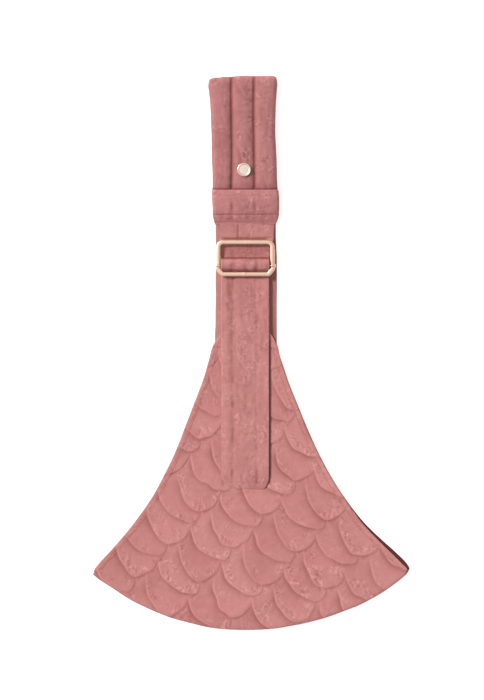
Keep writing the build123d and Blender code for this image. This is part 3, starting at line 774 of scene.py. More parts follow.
hem("front_hem_left", fl, 1, front_seat, 7.4, 0.62, 4.15, M_HEM, "hem", ["front_hem_left"], blend=FRONT_BLEND, t0=0.035, rmap=FAN)
hem("front_hem_right", fr, -1, front_seat, 7.4, 0.62, 4.15, M_HEM, "hem", ["front_hem_right"], blend=FRONT_BLEND, t0=0.05, rmap=FAN)
flat_back = lambda px, py: np.full(px.shape, 2.25)
# the back hems use the very dark lining cloth, a painted shade beside the front panel's edge
hem("back_hem_left", bl + [0.9, 0], 1, flat_back, 7.0, 0.55, None, M_LINING_AND_SHADE, "hem", ["back_hem_left"], body="back", t1=0.955, n=260)
hem("back_hem_right", br + [-0.35, 0], -1, flat_back, 7.0, 0.55, None, M_LINING_AND_SHADE, "hem", ["back_hem_right"], body="back", t1=0.975, n=260)

c = at_params(arc, np.linspace(0.03, 0.97, 260))
nn = normals2(c)
across = np.array([3.6, 3.9, 4.6, 6.0, 8.0, 9.4, 9.9])
px = c[:, None, 0] + nn[:, None, 0] * across[None]
py = c[:, None, 1] + nn[:, None, 1] * across[None]
fray = 0.15 * wave_noise(px, py, 6, 31, 2)
r_ = np.minimum(edge(across - 3.6, 0.4), edge(9.9 - across, 0.4))[None] * edge(np.minimum(np.linspace(0, 1, 260), np.linspace(1, 0, 260)) * 400, 1.0)[:, None]
o = shell("seat_seam_allowance", np.dstack([px, py, 2.62 + 0.3 * r_ + 0.3 * fray * r_]), np.dstack([px, py, 2.62 - 0.3 * r_]),
          np.dstack([px, py]))
done(o, M_LINING_AND_SHADE, "lining", ["seat_seam_allowance"], body="back")

# ---------------------------------------------------------------------------
# straps, pad and cuff: bands that follow a path in Y and Z
# ---------------------------------------------------------------------------


def band(name, path, xl, xr, over, under, r=1.2, near=(0.3, 0.8, 1.4), nx=60, end_r=1.2, uv_y0=0.0, attrs=None,
         shift=None, clamp=None, ends=(True, True), sides=None, lift=None):
    """A closed band along a smooth path of (y, z) rows. over and under give its half thickness on either side as
    functions of (x, s); xl and xr are its edges per row; shift moves points along Y."""
    path = np.asarray(path, float)
    n = len(path)
    s = np.concatenate([[0], np.cumsum(np.linalg.norm(np.diff(path, axis=0), axis=1))])
    nn_ = normals2(path)
    width = float(np.mean(xr - xl))
    uu = graded(nx, width, near)
    X = xl[:, None] + (xr - xl)[:, None] * uu[None]
    S = np.broadcast_to(s[:, None], X.shape)
    d = np.minimum(X - xl[:, None], xr[:, None] - X)
    e_ = edge(d, r)
    if sides is not None:
        e_ = e_ * sides(X, S)
    if ends[0]:
        e_ = e_ * edge(s, end_r)[:, None]
    if ends[1]:
        e_ = e_ * edge(s[-1] - s, end_r)[:, None]
    hi, lo = over(X, S) * e_, under(X, S) * e_
    Y0, Z0 = path[:, 0][:, None], path[:, 1][:, None]
    dy = shift(X, S) if shift is not None else 0.0
    t_ = np.dstack([X, Y0 + nn_[:, 0][:, None] * hi + dy, Z0 + nn_[:, 1][:, None] * hi])
    b_ = np.dstack([X, Y0 - nn_[:, 0][:, None] * lo + dy, Z0 - nn_[:, 1][:, None] * lo])
    if lift is not None:
        dz = lift(X, S)
        t_[..., 2] += dz
        b_[..., 2] += dz
    if clamp is not None:
        t_[..., 2] = np.maximum(t_[..., 2], clamp)
        b_[..., 2] = np.maximum(b_[..., 2], clamp)
    uvg = np.dstack([X, S + uv_y0])
    a = attrs(X, S + uv_y0) if attrs else {}
    la = {k: q * 0.6 for k, q in a.items()}
    return shell(name, t_, b_, uvg, a, low_attrs=la, flip=True), (t_, b_, X, S)


def interp(rows, s):
    rows = np.array(rows, float)
    return np.interp(s, rows[:, 0], rows[:, 1])


# wide strap behind
ys = np.linspace(9.0, 214.0, 180)
path = np.column_stack([ys, np.full(180, 0.85)])
xl = interp([(9, -48.2), (15, -46.9), (30, -46.6), (60, -46.0), (110, -45.8), (214, -45.9)], ys)
xr = interp([(9, 34.0), (15, 33.4), (60, 33.2), (100, 33.6), (125, 33.5), (150, 32.2), (175, 32.0), (214, 33.0)], ys)
xl = xl + 0.25 * wave_noise(ys, ys * 0, 40, 41)
o, _ = band("back_strap_outer", path, xl, xr, lambda X, S: 0.72 + 0.06 * wave_noise(X, S, 20, 5), lambda X, S: 0.82 + 0 * X,
            r=0.8, nx=40, attrs=None)
done(o, M_BACK, "strap_back", ["back_strap_outer"], body="back")
path = np.column_stack([ys, np.full(180, 2.1)])
# the right side of the strap behind is painted darker, a painted shadow of the free end lying above it
o, _ = band("back_strap_lining", path, xl + 0.5, xr - 0.5,
            lambda X, S: 0.42 + 0.10 * wave_noise(X, S, 26, 6) + 0.16 * np.exp(-(np.minimum(X - (-45.4), 32.6 - X) / 2.5) ** 2),
            lambda X, S: 0.42 + 0 * X, r=0.6, nx=60,
            attrs=lambda X, S: {"crease_shade": 0.72 * np.clip((X - 19.0) / 5.0, 0, 1), "tone": 0 * X, "vein": 0 * X, "rim": 0 * X})
done(o, M_BACK, "strap_back", ["back_strap_lining"], body="back")

# shoulder pad: one padded cover, folded over at the top
FOLD_Y, FOLD_R, ZF, ZB = 348.0, 4.95, 14.35, 4.45
y_front = np.linspace(205.0, FOLD_Y, 190)
a_ = np.linspace(math.pi / 2, -math.pi / 2, 34)[1:-1]
y_back = np.linspace(FOLD_Y, 205.0, 110)
z_front = ZF - 3.0 * np.exp(-((y_front - 206.0) / 7.5) ** 2)
path = np.vstack([np.column_stack([y_front, z_front]),
                  np.column_stack([FOLD_Y + FOLD_R * np.cos(a_), 9.4 + FOLD_R * np.sin(a_)]),
                  np.column_stack([y_back, np.full(110, ZB)])])
s_path = np.concatenate([[0], np.cumsum(np.linalg.norm(np.diff(path, axis=0), axis=1))])
L_FRONT, L_FOLD = s_path[189], s_path[189 + 32]
y_of = path[:, 0]
PAD_XL = [(200, -49.6), (211, -49.9), (216, -49.6), (232, -49.7), (252, -50.7), (280, -51.0), (296, -51.6), (311, -52.2),
          (325, -53.0), (335, -54.2), (345, -55.3), (352, -55.0), (360, -54.0)]
PAD_XR = [(200, 33.9), (211, 34.3), (222, 33.6), (250, 33.0), (266, 32.1), (284, 31.2), (296, 31.3), (311, 31.7),
          (325, 32.2), (335, 33.0), (345, 33.9), (352, 33.6), (360, 33.0)]
xl, xr = interp(PAD_XL, y_of), interp(PAD_XR, y_of)
QL = (-25.2, 3.9)


def channel(X, S, xl_, xr_, deep=0.16, power=2.1):
    if S.shape and deep < 0.4:
        deep = deep + (0.86 - deep) * np.exp(-((S - (L_FRONT + L_FOLD) / 2) / 8.5) ** 2)
    """Share of full thickness across three stuffed channels."""
    q1 = QL[0] + 0.6 * np.sin(S / 37.0)
    q2 = QL[1] + 0.5 * np.sin(S / 29.0 + 1.0)
    a = np.where(X < q1, xl_ - 1.5, np.where(X < q2, q1, q2))
    b = np.where(X < q1, q1, np.where(X < q2, q2, xr_ + 1.5))
    t = np.clip((X - a) / (b - a), 0, 1)
    return deep + (1 - deep) * (1 - np.abs(2 * t - 1) ** power) ** 0.78, np.minimum(np.abs(X - q1), np.abs(X - q2))


def puckers(X, S, seed, k=1.0):
    """Fine lengthwise gathers of a quilted strap."""
    return k * (0.30 * lattice_noise(X / 5.2, S / 19.0, seed) + 0.15 * lattice_noise(X / 3.0 + S / 30.0, S / 8.0, seed + 1))


def pad_over(X, S):
    yy = np.interp(S, s_path, y_of)
    xa, xb = np.interp(S, s_path, xl), np.interp(S, s_path, xr)
    ch, dq = channel(X, S, xa, xb)
    pinch = 1 - 0.52 * np.exp(-((yy - 206.0) / 8.5) ** 2)
    pucker = 0.45 * np.exp(-dq / 5.5) * wave_noise(X * 0.35, S, 15, 51, 3)
    h = 4.9 * ch * pinch + pucker + 0.40 * (sample(STRAPMAP, "height", X, S) - 0.6) + 0.40 * wave_noise(X, S, 34, 52, 3) + puckers(X, S, 3)
    # a dimple round the button
    h = h - 0.9 * np.exp(-(((X + 9.0) / 10.5) ** 2 + ((S - 30.8) / 10.5) ** 2))
    return np.maximum(h, 0.8)


def pad_under(X, S):
    xa, xb = np.interp(S, s_path, xl), np.interp(S, s_path, xr)
    ch, _ = channel(X, S, xa, xb, deep=0.5)
    yy = np.interp(S, s_path, y_of)
    return 4.05 * ch * (1 - 0.38 * np.exp(-((yy - 206.0) / 8.5) ** 2) * (S < L_FRONT))


def pad_shift(X, S):
    near = np.exp(-((S - (L_FRONT + L_FOLD) / 2) / 13.0) ** 2)
    t = (X + 55.5) / 89.5
    left = np.where(X < QL[0], -2.6 * (1 - np.clip((X + 55.5) / 30.0, 0, 1) * 0.75), 0.0)
    corner = -1.3 * np.clip(1 - (X + 55.5) / 9.0, 0, 1) ** 2
    notch = -0.35 * np.exp(-(np.minimum(np.abs(X - QL[0]), np.abs(X - QL[1])) / 1.8) ** 2)
    return near * (left + corner + notch)


def strap_attrs(X, S):
    a = cloth_attrs(STRAPMAP, X, S)
    # the crease and rim attributes give painted shade and painted highlight, broken up in patches; the tone follows the
    # puckers, painted lighter on their crests and darker in their hollows
    broken = np.clip(0.5 + 1.3 * lattice_noise(X / 14.0, S / 17.0, 12), 0.1, 1)
    a["crease_shade"] = a["crease_shade"] * 0.40 * broken
    a["rim"] = a["rim"] * 0.45 * broken
    a["tone"] = 0.5 * a["tone"] + 5.0 * puckers(X, S, 3)
    a["vein"] = a["vein"] * 0.95
    return a


def pad_attrs(X, S):
    a = strap_attrs(X, S)
    for k in ("crease_shade", "rim", "vein"):
        a[k] = a[k] * 1.35
    # painted shade in the quilting seams between the channels, and where the pad dips under the cuff
    dq = np.minimum(np.abs(X - QL[0] - 0.6 * np.sin(S / 37.0)), np.abs(X - QL[1] - 0.5 * np.sin(S / 29.0 + 1.0)))
    a["crease_shade"] = np.maximum(a["crease_shade"], 1.3 * np.exp(-(dq / 2.1) ** 2))
    yy = np.interp(S, s_path, y_of)
    low = np.where(S < L_FRONT, np.exp(-(np.clip(yy - 212.0, 0, None) / 1.2) ** 2), 0.0)
    a["crease_shade"] = np.maximum(a["crease_shade"], 1.28 * low)
    return a


pad, _ = band("pad_cover", path, xl, xr, pad_over, pad_under, r=5.2, near=(0.25, 0.7, 1.3, 2.1, 3.1, 4.3), nx=112,
              end_r=2.0, shift=pad_shift, attrs=pad_attrs, clamp=0.0)
done(pad, M_PAD, "strap_fabric", ["pad_front_cover", "pad_back_cover"],
     blend=("back", "upper", (0, 350, 4.5), (0, 350, 14.3)))

# padding strips inside the three channels
keep = np.concatenate([np.arange(14, 190, 6), np.arange(191, 221, 3), np.arange(224, 330, 6)])
ppath = path[keep]
for i, word in enumerate(("left", "center", "right")):
    a0 = (xl[keep] + 5.6) if i == 0 else np.full(len(keep), QL[i - 1] + 2.2)
    a1 = (xr[keep] - 5.6) if i == 2 else np.full(len(keep), QL[i] - 2.2)
    mid_, half = (a0 + a1) / 2, (a1 - a0) / 2

    def fill(X, S, k=1.0):
        t = np.clip(np.abs(X - mid_[:, None]) / half[:, None], 0, 1)
        return k * 2.6 * (1 - 0.55 * t ** 2.4) + 0.10 * wave_noise(X, S, 9, 61 + i, 2)

    o, _ = band("pad_padding_" + word, ppath, a0, a1, lambda X, S: fill(X, S), lambda X, S: fill(X, S, 0.62), r=2.0,
                near=(0.6, 1.5), nx=14, end_r=3.0)
    done(o, M_BATTING, "batting", ["pad_front_padding_" + word, "pad_back_padding_" + word],
         blend=("back", "upper", (0, 350, 4.5), (0, 350, 14.3)))

# cuff
cy = np.linspace(166.0, 210.9, 120)
cz = interp([(166, 8.9), (171, 9.3), (177, 10.2), (184, 11.3), (192, 12.5), (200, 13.2), (212.4, 13.3)], cy)
path_c = np.column_stack([cy, cz])
cxl = interp([(166, -46.6), (169, -47.6), (172, -48.4), (176, -49.2), (180, -49.7), (187, -49.7), (195, -50.2), (203, -50.8),
              (209, -50.6), (212.4, -50.0)], cy)
cxr = interp([(166, 32.2), (169, 33.2), (172, 34.4), (176, 35.6), (180, 36.1), (187, 36.4), (195, 36.4), (203, 36.2),
              (209, 35.4), (212.4, 34.6)], cy)
C_T = [(166, 1.1), (169, 1.5), (171.5, 1.9), (175, 2.7), (179.5, 3.6), (184, 4.6), (191, 5.3), (199, 5.6), (206, 5.6), (210.5, 5.2), (212.4, 4.7)]


def cuff_over(X, S):
    yy = np.interp(S, s_c, cy)
    t = np.interp(yy, *np.array(C_T).T)
    cross = (1 - np.abs((X + 7.0) / 45.0) ** 3.4 * 0.35)
    h = t * np.clip(cross, 0.3, 1)
    for q in QL:
        h = h - 0.95 * np.exp(-((X - q - 1.0) / 2.6) ** 2) * np.exp(-((yy - 188.5) / 8.0) ** 2)
    for row, deep in ((202.4, 0.22), (179.0, 0.62), (170.6, 0.55)):
        h = h - deep * np.exp(-((yy - row) / 1.0) ** 2) * np.clip(t / 3, 0.3, 1)
    h = h + 0.34 * wave_noise(X, yy, 22, 71, 3) * np.clip(t / 4, 0.2, 1) + 0.22 * (sample(STRAPMAP, "height", X, yy - 60) - 0.6)
    h = h + 0.22 * np.exp(-((yy - 176.0) / 4.5) ** 2) * np.sin(X / 1.9 + 2 * np.sin(X / 17))
    return np.maximum(h, 0.7)


s_c = np.concatenate([[0], np.cumsum(np.linalg.norm(np.diff(path_c, axis=0), axis=1))])


def cuff_attrs(X, S):
    yy = np.interp(S, s_c, cy)
    a = strap_attrs(X, yy - 60)
    # painted shade and crinkle streaks among the gathers low on the cuff's left
    gathered = np.exp(-((yy - 174.0) / 5.0) ** 2) * np.clip((12.0 - X) / 40.0, 0, 1)
    a["crease_shade"] = np.maximum(a["crease_shade"], 0.5 * gathered * np.clip(0.45 + lattice_noise(X / 4.2, yy / 3.0, 18), 0, 1))
    a["vein"] = a["vein"] + 0.7 * gathered * lattice_noise(X / 2.0, yy / 4.0, 19)
    # painted shade along the stitched rows, stronger towards the left
    for row, k in ((179.0, 0.8), (169.8, 1.0)):
        fade = np.clip(1.15 - (X + 45) / 110, 0.35, 1)
        a["crease_shade"] = np.maximum(a["crease_shade"], k * fade * np.exp(-((yy - row) / 1.2) ** 2))
    # painted shade in the short seam dips where the pad's channel lines continue onto the cuff
    for q in QL:
        a["crease_shade"] = np.maximum(a["crease_shade"], 0.85 * np.exp(-((X - q - 1.0) / 2.4) ** 2) * np.exp(-((yy - 188.5) / 6.0) ** 2))
    return a


cuff, (ct, cb, CX, CS) = band("shoulder_cuff", path_c, cxl, cxr, cuff_over, lambda X, S: 0.82 * np.interp(np.interp(S, s_c, cy), *np.array(C_T).T),
                              r=4.2, near=(0.25, 0.7, 1.4, 2.4, 3.4), nx=110, end_r=1.5, attrs=cuff_attrs,
                              shift=lambda X, S: 0.6 * wave_noise(X, X * 0, 26, 73, 2) * np.clip(1 - S / 16.0, 0, 1))
done(cuff, M_CUFF, "strap_fabric", ["shoulder_cuff"], body="upper")


def on_grid(grid, gx, gy, x_, y_):
    """Height of a band's upper face near (x, y), from its grid of points."""
    out = []
    for a, b in zip(x_, y_):
        i = np.argmin((grid[..., 0] - a) ** 2 + (grid[..., 1] - b) ** 2)
        out.append(grid.reshape(-1, 3)[i, 2])
    return np.array(out)


parts = []
for row, inset_, lift in ((202.4, 5.0, 0.10), (179.0, 4.0, 0.12), (170.6, 4.5, 0.10)):
    xs = np.arange(-50 + inset_, 36 - inset_, 3.3)
    yy = np.full(len(xs), row) + 0.12 * wave_noise(xs, xs * 0, 30, 81)
    zz = on_grid(ct, None, None, xs, yy) + lift
    pts = np.column_stack([xs, yy, zz])
    dirs = np.column_stack([np.ones(len(xs)), np.zeros(len(xs)), np.gradient(zz) / 3.3])
    parts.append(stitch_mesh(pts, dirs, np.tile([0, -0.15, 1.0], (len(xs), 1)), 2.4, 0.36, 0.30) + (0,))
o = join_meshes("cuff_stitching", parts)
done(o, M_THREAD, "thread", ["cuff_stitching"], body="upper")

# adjusting strap from the cuff to the slider's top bar
STRAP_L, STRAP_R = -38.6, 24.4
yy = smooth_line([(183, 10.6), (172, 9.4), (164, 8.4), (156, 7.5), (149, 6.9), (143, 6.5), (138.6, 6.4)], 110)
xl = interp([(138, -39.2), (143, -40.0), (150, -40.6), (165, -41.0), (183, -40.5)], yy[:, 0])
xr = interp([(138, 25.0), (141, 27.2), (145, 29.0), (150, 29.6), (165, 30.4), (183, 30.0)], yy[:, 0])
UQ = (-16.8, 10.5)
TQ = ((232.5 - 251) * PX, (256.5 - 251) * PX)


def strap_channel(X, S, q=TQ, deep=0.30, width=1.5):
    d = np.minimum(np.abs(X - q[0] - 0.4 * np.sin(S / 31.0)), np.abs(X - q[1] - 0.4 * np.sin(S / 23.0)))
    return deep * np.exp(-(d / width) ** 2), d


def strap_over(X, S, base=1.1, rel=0.5, y0=0.0):
    g, d = strap_channel(X, S)
    puff = 0.34 * (1 - np.exp(-(d / 3.5) ** 2))
    tight = 0.45 + 0.55 * lattice_noise(S / 11.0, X * 0 + (X > 0), 14)
    return (base + puff - g * np.clip(tight, 0.1, 1) + rel * (sample(STRAPMAP, "height", X, S + y0) - 0.6)
            + 0.2 * np.exp(-d / 5) * wave_noise(X, S, 13, 91, 3) + puckers(X, S + y0, 3, 1.15))


def tail_attrs(X, S):
    a = strap_attrs(X, S)
    _, d = strap_channel(X, S)
    # painted shade along the quilting seams, uneven in strength
    tight = np.clip(0.35 + 0.9 * lattice_noise(S / 11.0, X * 0 + (X > 0), 14), 0.05, 1)
    a["crease_shade"] = np.maximum(a["crease_shade"], 0.70 * tight * np.exp(-(d / 2.2) ** 2))
    # an uneven band of painted shade along the left seam
    seam_band_shade = np.exp(-(np.abs(X + 25.0 + 1.8 * lattice_noise(S / 16.0, X * 0, 15)) / 3.9) ** 3)
    a["crease_shade"] = np.maximum(a["crease_shade"], 0.40 * seam_band_shade * np.clip(0.45 + 0.9 * lattice_noise(X / 5.0, S / 13.0, 16), 0, 1))
    a["vein"] = a["vein"] * 1.15
    # painted shadow on the free end's right side wall
    a["crease_shade"] = np.maximum(a["crease_shade"], 1.25 * np.clip((X - 22.7) / 0.7, 0, 1))
    return a


s_u = np.concatenate([[0], np.cumsum(np.linalg.norm(np.diff(yy[::-1], axis=0), axis=1))])
y_u = yy[::-1, 0]


def upper_over(X, S):
    y_here = np.interp(S, s_u, y_u)
    g, d = strap_channel(X, S, UQ, 0.45, 1.6)
    g = g * np.where(X < 0, 1.0, 0.35)
    h = 1.25 - g + 0.35 * (sample(STRAPMAP, "height", X, S + 120) - 0.6) + 0.22 * wave_noise(X, S, 17, 93, 2)
    return h - 0.55 * np.exp(-((y_here - 148.6) / 1.2) ** 2)


def upper_attrs(X, S):
    y_here = np.interp(S - 120, s_u, y_u)
    a = strap_attrs(X, S)
    _, d = strap_channel(X, S, UQ)
    # painted shade along the strap's seam and its left edge, and a painted shadow across the strap just above the
    # slider's top bar
    a["crease_shade"] = np.maximum(a["crease_shade"], 0.9 * np.exp(-(np.abs(X - UQ[0]) / 1.4) ** 2))
    a["crease_shade"] = np.maximum(a["crease_shade"], 1.2 * np.exp(-((X + 41.0) / 0.9) ** 2))
    middle = np.clip((31 - np.abs(X + 9.0)) / 6, 0, 1)
    a["crease_shade"] = np.maximum(a["crease_shade"], 1.35 * middle * np.exp(-((y_here - 148.0) / 1.5) ** 2))
    return a


o, _ = band("strap_upper", yy[::-1], xl[::-1], xr[::-1], upper_over, lambda X, S: 0.9 + 0 * X, r=1.3,
            near=(0.3, 0.8, 1.4), nx=76, uv_y0=120, attrs=upper_attrs,
            lift=lambda X, S: -1.1 * np.clip((X - 4.0) / 26.0, 0, 1) ** 2)
done(o, M_STRAP, "strap_fabric", ["strap_upper"], body="upper")

# the strap inside the slider and its free end, one piece
T_END = -175.5
thr = smooth_line([(141.5, 5.9), (136, 5.6), (130.5, 5.4), (126.0, 5.5), (123.2, 6.5), (121.8, 9.6), (120.0, 12.9), (116.4, 14.6), (112.2, 14.4),
                   (109.3, 13.0), (107.8, 10.6), (106.2, 8.1), (103.8, 6.4), (98.0, 5.95), (92.0, 6.2), (84, 6.6), (70, 6.8), (50, 6.9), (36, 7.2), (24.0, 7.7),
                   (10.0, 7.5), (-60, 7.35), (-110.0, 7.35), (-150, 7.35), (T_END, 7.2)], 560)
ty = thr[:, 0]
z_w = 0.16 * wave_noise(ty, ty * 0, 90, 95, 2) * np.clip((60 - ty) / 60, 0, 1)
thr[:, 1] = thr[:, 1] + z_w
sy = np.concatenate([[0], np.cumsum(np.linalg.norm(np.diff(thr, axis=0), axis=1))])
txl = interp([(-176, -26.5), (-175.4, -27.6), (-174.2, -28.8), (-168, -33.6), (-162.5, -37.4), (-158.0, -38.5), (-100, -38.7), (40, -38.7), (98, -38.6),
              (103, -38.8), (124, -38.8), (128, -39.7), (142, -39.9)], ty)
txr = interp([(-176, 15.6), (-175.4, 16.9), (-174.2, 18.2), (-168.5, 21.4), (-164.0, 23.1), (-159.0, 23.6), (-100, 23.7), (40, 23.6), (98, 23.8),
              (103, 24.0), (123.5, 24.0), (127, 25.4), (142, 25.6)], ty)
wob = 0.22 * wave_noise(sy, sy * 0, 70, 97, 2) * np.clip((95 - ty) / 30, 0, 1)
txl, txr = txl + wob, txr + wob
S_SURF = 480.0


def tail_over(X, S):
    y_here = np.interp(S, sy, ty)
    h = strap_over(X, S_SURF - S, 1.12, 0.42)
    in_window = np.clip((y_here - 96) / 6, 0, 1) * (S < 80)
    h = h * (1 - 0.2 * in_window)
    h = h * (1 - 0.32 * np.exp(-((y_here - 103.0) / 4.5) ** 2) * (S > 40))
    h = h + in_window * 0.26 * wave_noise(X, S, 15, 99, 3)
    end = np.exp(-((y_here - (T_END + 8.0)) / 0.9) ** 2) * 0.3
    thin = 1 - 0.55 * np.clip((T_END + 18 - y_here) / 18, 0, 1)
    return np.maximum((h - end) * thin, 0.3)


def tail_side(X, S):
    """The left edge lies soft and thin on the cloth below."""
    y_here = np.interp(S, sy, ty)
    k = np.clip((60 - y_here) / 60, 0, 1) * (S > 60)
    return 1 - k * (1 - edge(X + 38.9, 7.0))


def tail_tilt(X, S):
    y_here = np.interp(S, sy, ty)
    k = np.clip((40 - y_here) / 50, 0, 1) * (S > 60)
    t = (X + 7.0) / 31.5
    right = 0.95 * np.clip(t, 0, 1) ** 2 * np.clip((y_here + 170) / 16, 0, 1)
    left = -1.45 * np.clip(-t, 0, 1) ** 1.6
    return k * (right + left) - 0.85 * np.clip((T_END + 18 - y_here) / 18, 0, 1) ** 1.3


def tail_attr2(X, S):
    y_here = np.interp(S, sy, ty)
    a = tail_attrs(X, S_SURF - S)
    # painted shade where the strap rises steeply over the centre bar, and over the upper window under the top bar
    fold_shade = 1.7 * np.exp(-((y_here - 122.2) / 2.0) ** 2) * (S < 40)
    fold_shade = np.maximum(fold_shade, 0.62 * np.clip((y_here - 122) / 3, 0, 1) * (S < 40))
    fold_shade = np.maximum(fold_shade, 0.14 * (S < 46) * np.clip(0.6 + lattice_noise(X / 7.0, S / 5.0, 17), 0, 1))
    a["crease_shade"] = np.maximum(a["crease_shade"], fold_shade)
    # below the slider, painted shade with light and dark crinkle streaks stands in for creases along the cloth's left
    # third
    middle = -25.0 - 4.2 * np.clip((y_here - 10.0) / 60.0, 0, 1)
    creased_band_shade = np.exp(-(np.abs(X - middle + 1.2 * lattice_noise(S / 12.0, X * 0, 21)) / 4.0) ** 4) * (S > 45)
    creased_band_shade = creased_band_shade * np.clip((y_here + 60.0) / 90.0, 0.25, 1) * np.clip(0.62 + 0.9 * lattice_noise(X / 6.0, S / 9.0, 22), 0.1, 1)
    a["crease_shade"] = np.maximum(a["crease_shade"], 0.62 * creased_band_shade)
    a["vein"] = a["vein"] + 0.55 * creased_band_shade * lattice_noise(X / 3.0, S / 2.4, 23)
    return a


# the path is handed over from its free end, so its left normal points up
o, (tt, tb, TX, TS) = band("tail_strap", thr[::-1], txl[::-1], txr[::-1], lambda X, S: tail_over(X, sy[-1] - S),
                           lambda X, S: 1.0 + 0 * X, r=1.25, near=(0.2, 0.5, 0.9, 1.4, 2.2), nx=78, end_r=5.0,
                           attrs=lambda X, S: tail_attr2(X, sy[-1] - S), sides=lambda X, S: tail_side(X, sy[-1] - S),
                           lift=lambda X, S: tail_tilt(X, sy[-1] - S))
done(o, M_STRAP, "strap_fabric", ["tail_strap", "strap_threaded"], blend=("front", "tail", (0, 99, 0), (0, 80, 0)))

core = smooth_line([(78, 8.55), (40, 8.55), (-60, 8.4), (-110, 8.3), (-150, 8.5), (-168, 8.65)], 90)
core[:, 1] = np.interp(core[:, 0], ty[::-1], thr[::-1, 1])
o, _ = band("tail_core", core[::-1], np.full(90, -30.0), np.full(90, 19.0), lambda X, S: 0.3 + 0 * X, lambda X, S: 0.3 + 0 * X, r=0.5, nx=16,
            lift=lambda X, S: tail_tilt(X, np.interp(np.interp(S, np.linspace(0, 246, 90), core[::-1, 0]), ty[::-1], sy[::-1])))
done(o, M_TAPE, "tape", ["tail_core"], body="tail")

# neck strap: from the front panel up behind the slider, looped round the centre bar
PIN_Y, PIN_Z = 113.0, 11.0
up_ = [(26.0, 4.35), (40, 4.1), (60, 4.0), (85, 3.95), (100, 4.0), (108.0, 4.2), (113.5, 5.2), (116.2, 8.0)]
loop = [(PIN_Y + 2.55 * math.cos(a), PIN_Z + 2.55 * math.sin(a)) for a in np.linspace(-0.1, math.pi * 1.35, 12)]
neck = smooth_line(up_ + loop, 150)
w_l = interp([(20, -38.2), (60, -37.9), (120, -37.6)], neck[:, 0])
w_r = interp([(20, 24.2), (60, 24.0), (120, 23.7)], neck[:, 0])
o, _ = band("neck_strap", neck, w_l, w_r, lambda X, S: np.where(S < 82, 0.85, 0.62) + 0.05 * wave_noise(X, S, 14, 101),
            lambda X, S: np.where(S < 82, 0.8, 0.62) + 0 * X, r=0.9, nx=46, attrs=strap_attrs)
done(o, M_STRAP, "strap_fabric", ["neck_strap"], body="front")
pts, dirs = [], []
for x_ in np.arange(-33, 19.5, 3.3):
    for y_ in (79.6, 92.4):
        pts.append((x_, y_, 4.82))
        dirs.append((1, 0, 0))
for y_ in np.arange(82.4, 91, 3.3):
    for x_ in (-33.6, 19.7):
        pts.append((x_, y_, 4.82))
        dirs.append((0, 1, 0))
p_, f_, q_ = stitch_mesh(np.array(pts), np.array(dirs, float), np.tile([0, 0, 1.0], (len(pts), 1)), 2.4, 0.34, 0.2)
o = build("neck_stitching", p_, f_, q_)
done(o, M_THREAD, "thread", ["neck_stitching"], body="front")

# ---------------------------------------------------------------------------
# slider and button
# ---------------------------------------------------------------------------


def lathe(profile, cx, cy_, n=72):
    prof = np.array(profile, float)
    a = np.linspace(0, 2 * math.pi, n, endpoint=False)
    verts, faces = [], []
    for r_, z_ in prof:
        if r_ < 1e-6:
            verts.append([(cx, cy_, z_)])
        else:
            verts.append([(cx + r_ * math.cos(q), cy_ + r_ * math.sin(q), z_) for q in a])
    start = np.cumsum([0] + [len(q) for q in verts])
    for i in range(len(verts) - 1):
        p0, p1 = start[i], start[i + 1]
        k0, k1 = len(verts[i]), len(verts[i + 1])
        for j in range(n):
            j2 = (j + 1) % n
            if k0 == 1 and k1 == 1:
                continue
            if k0 == 1:
                faces.append((p0, p1 + j, p1 + j2))
            elif k1 == 1:
                faces.append((p0 + j, p1, p0 + j2))
            else:
                faces.append((p0 + j, p1 + j, p1 + j2, p0 + j2))
    v_ = np.array([q for r_ in verts for q in r_])
    return v_, faces


def tube_loop(line, half_w, half_h, z, m=28, power=2.9):
    """A closed ring that follows a closed line in the plane, with a rounded oval section."""
    n = len(line)
    d = np.roll(line, -1, 0) - np.roll(line, 1, 0)
    d /= np.linalg.norm(d, axis=1, keepdims=True)
    nn_ = np.stack([-d[:, 1], d[:, 0]], 1)
    verts, faces = [], []
    ang = np.linspace(0, 2 * math.pi, m, endpoint=False)
    cs = np.sign(np.cos(ang)) * np.abs(np.cos(ang)) ** (2 / power)
    sn = np.sign(np.sin(ang)) * np.abs(np.sin(ang)) ** (2 / power)
    for i in range(n):
        for k in range(m):
            verts.append((line[i, 0] + nn_[i, 0] * cs[k] * half_w[i], line[i, 1] + nn_[i, 1] * cs[k] * half_w[i], z + sn[k] * half_h[i]))
    for i in range(n):
        i2 = (i + 1) % n
        for k in range(m):
            k2 = (k + 1) % m
            faces.append((i * m + k, i * m + k2, i2 * m + k2, i2 * m + k))
    return np.array(verts), faces


def corner_path(points, radii, step=0.7):
    """A closed line through corners, each rounded by its radius."""
    out = []
    n = len(points)
    for i in range(n):
        p, a, b = (np.array(points[k % n], float) for k in (i, i - 1, i + 1))
        da, db = (a - p) / np.linalg.norm(a - p), (b - p) / np.linalg.norm(b - p)
        half = math.acos(np.clip(da @ db, -1, 1)) / 2
        cut = radii[i] / math.tan(half)
        p0, p1 = p + da * cut, p + db * cut
        t = np.linspace(0, 1, 14)[:, None]
        out.append((1 - t) ** 2 * p0 + 2 * t * (1 - t) * p + t ** 2 * p1)
    line = np.vstack(out)
    line = np.vstack([line, line[:1]])
    along = np.concatenate([[0], np.cumsum(np.linalg.norm(np.diff(line, axis=0), axis=1))])
    at = np.linspace(0, along[-1], int(along[-1] / step), endpoint=False)
    return np.stack([np.interp(at, along, line[:, k]) for k in range(2)], 1)


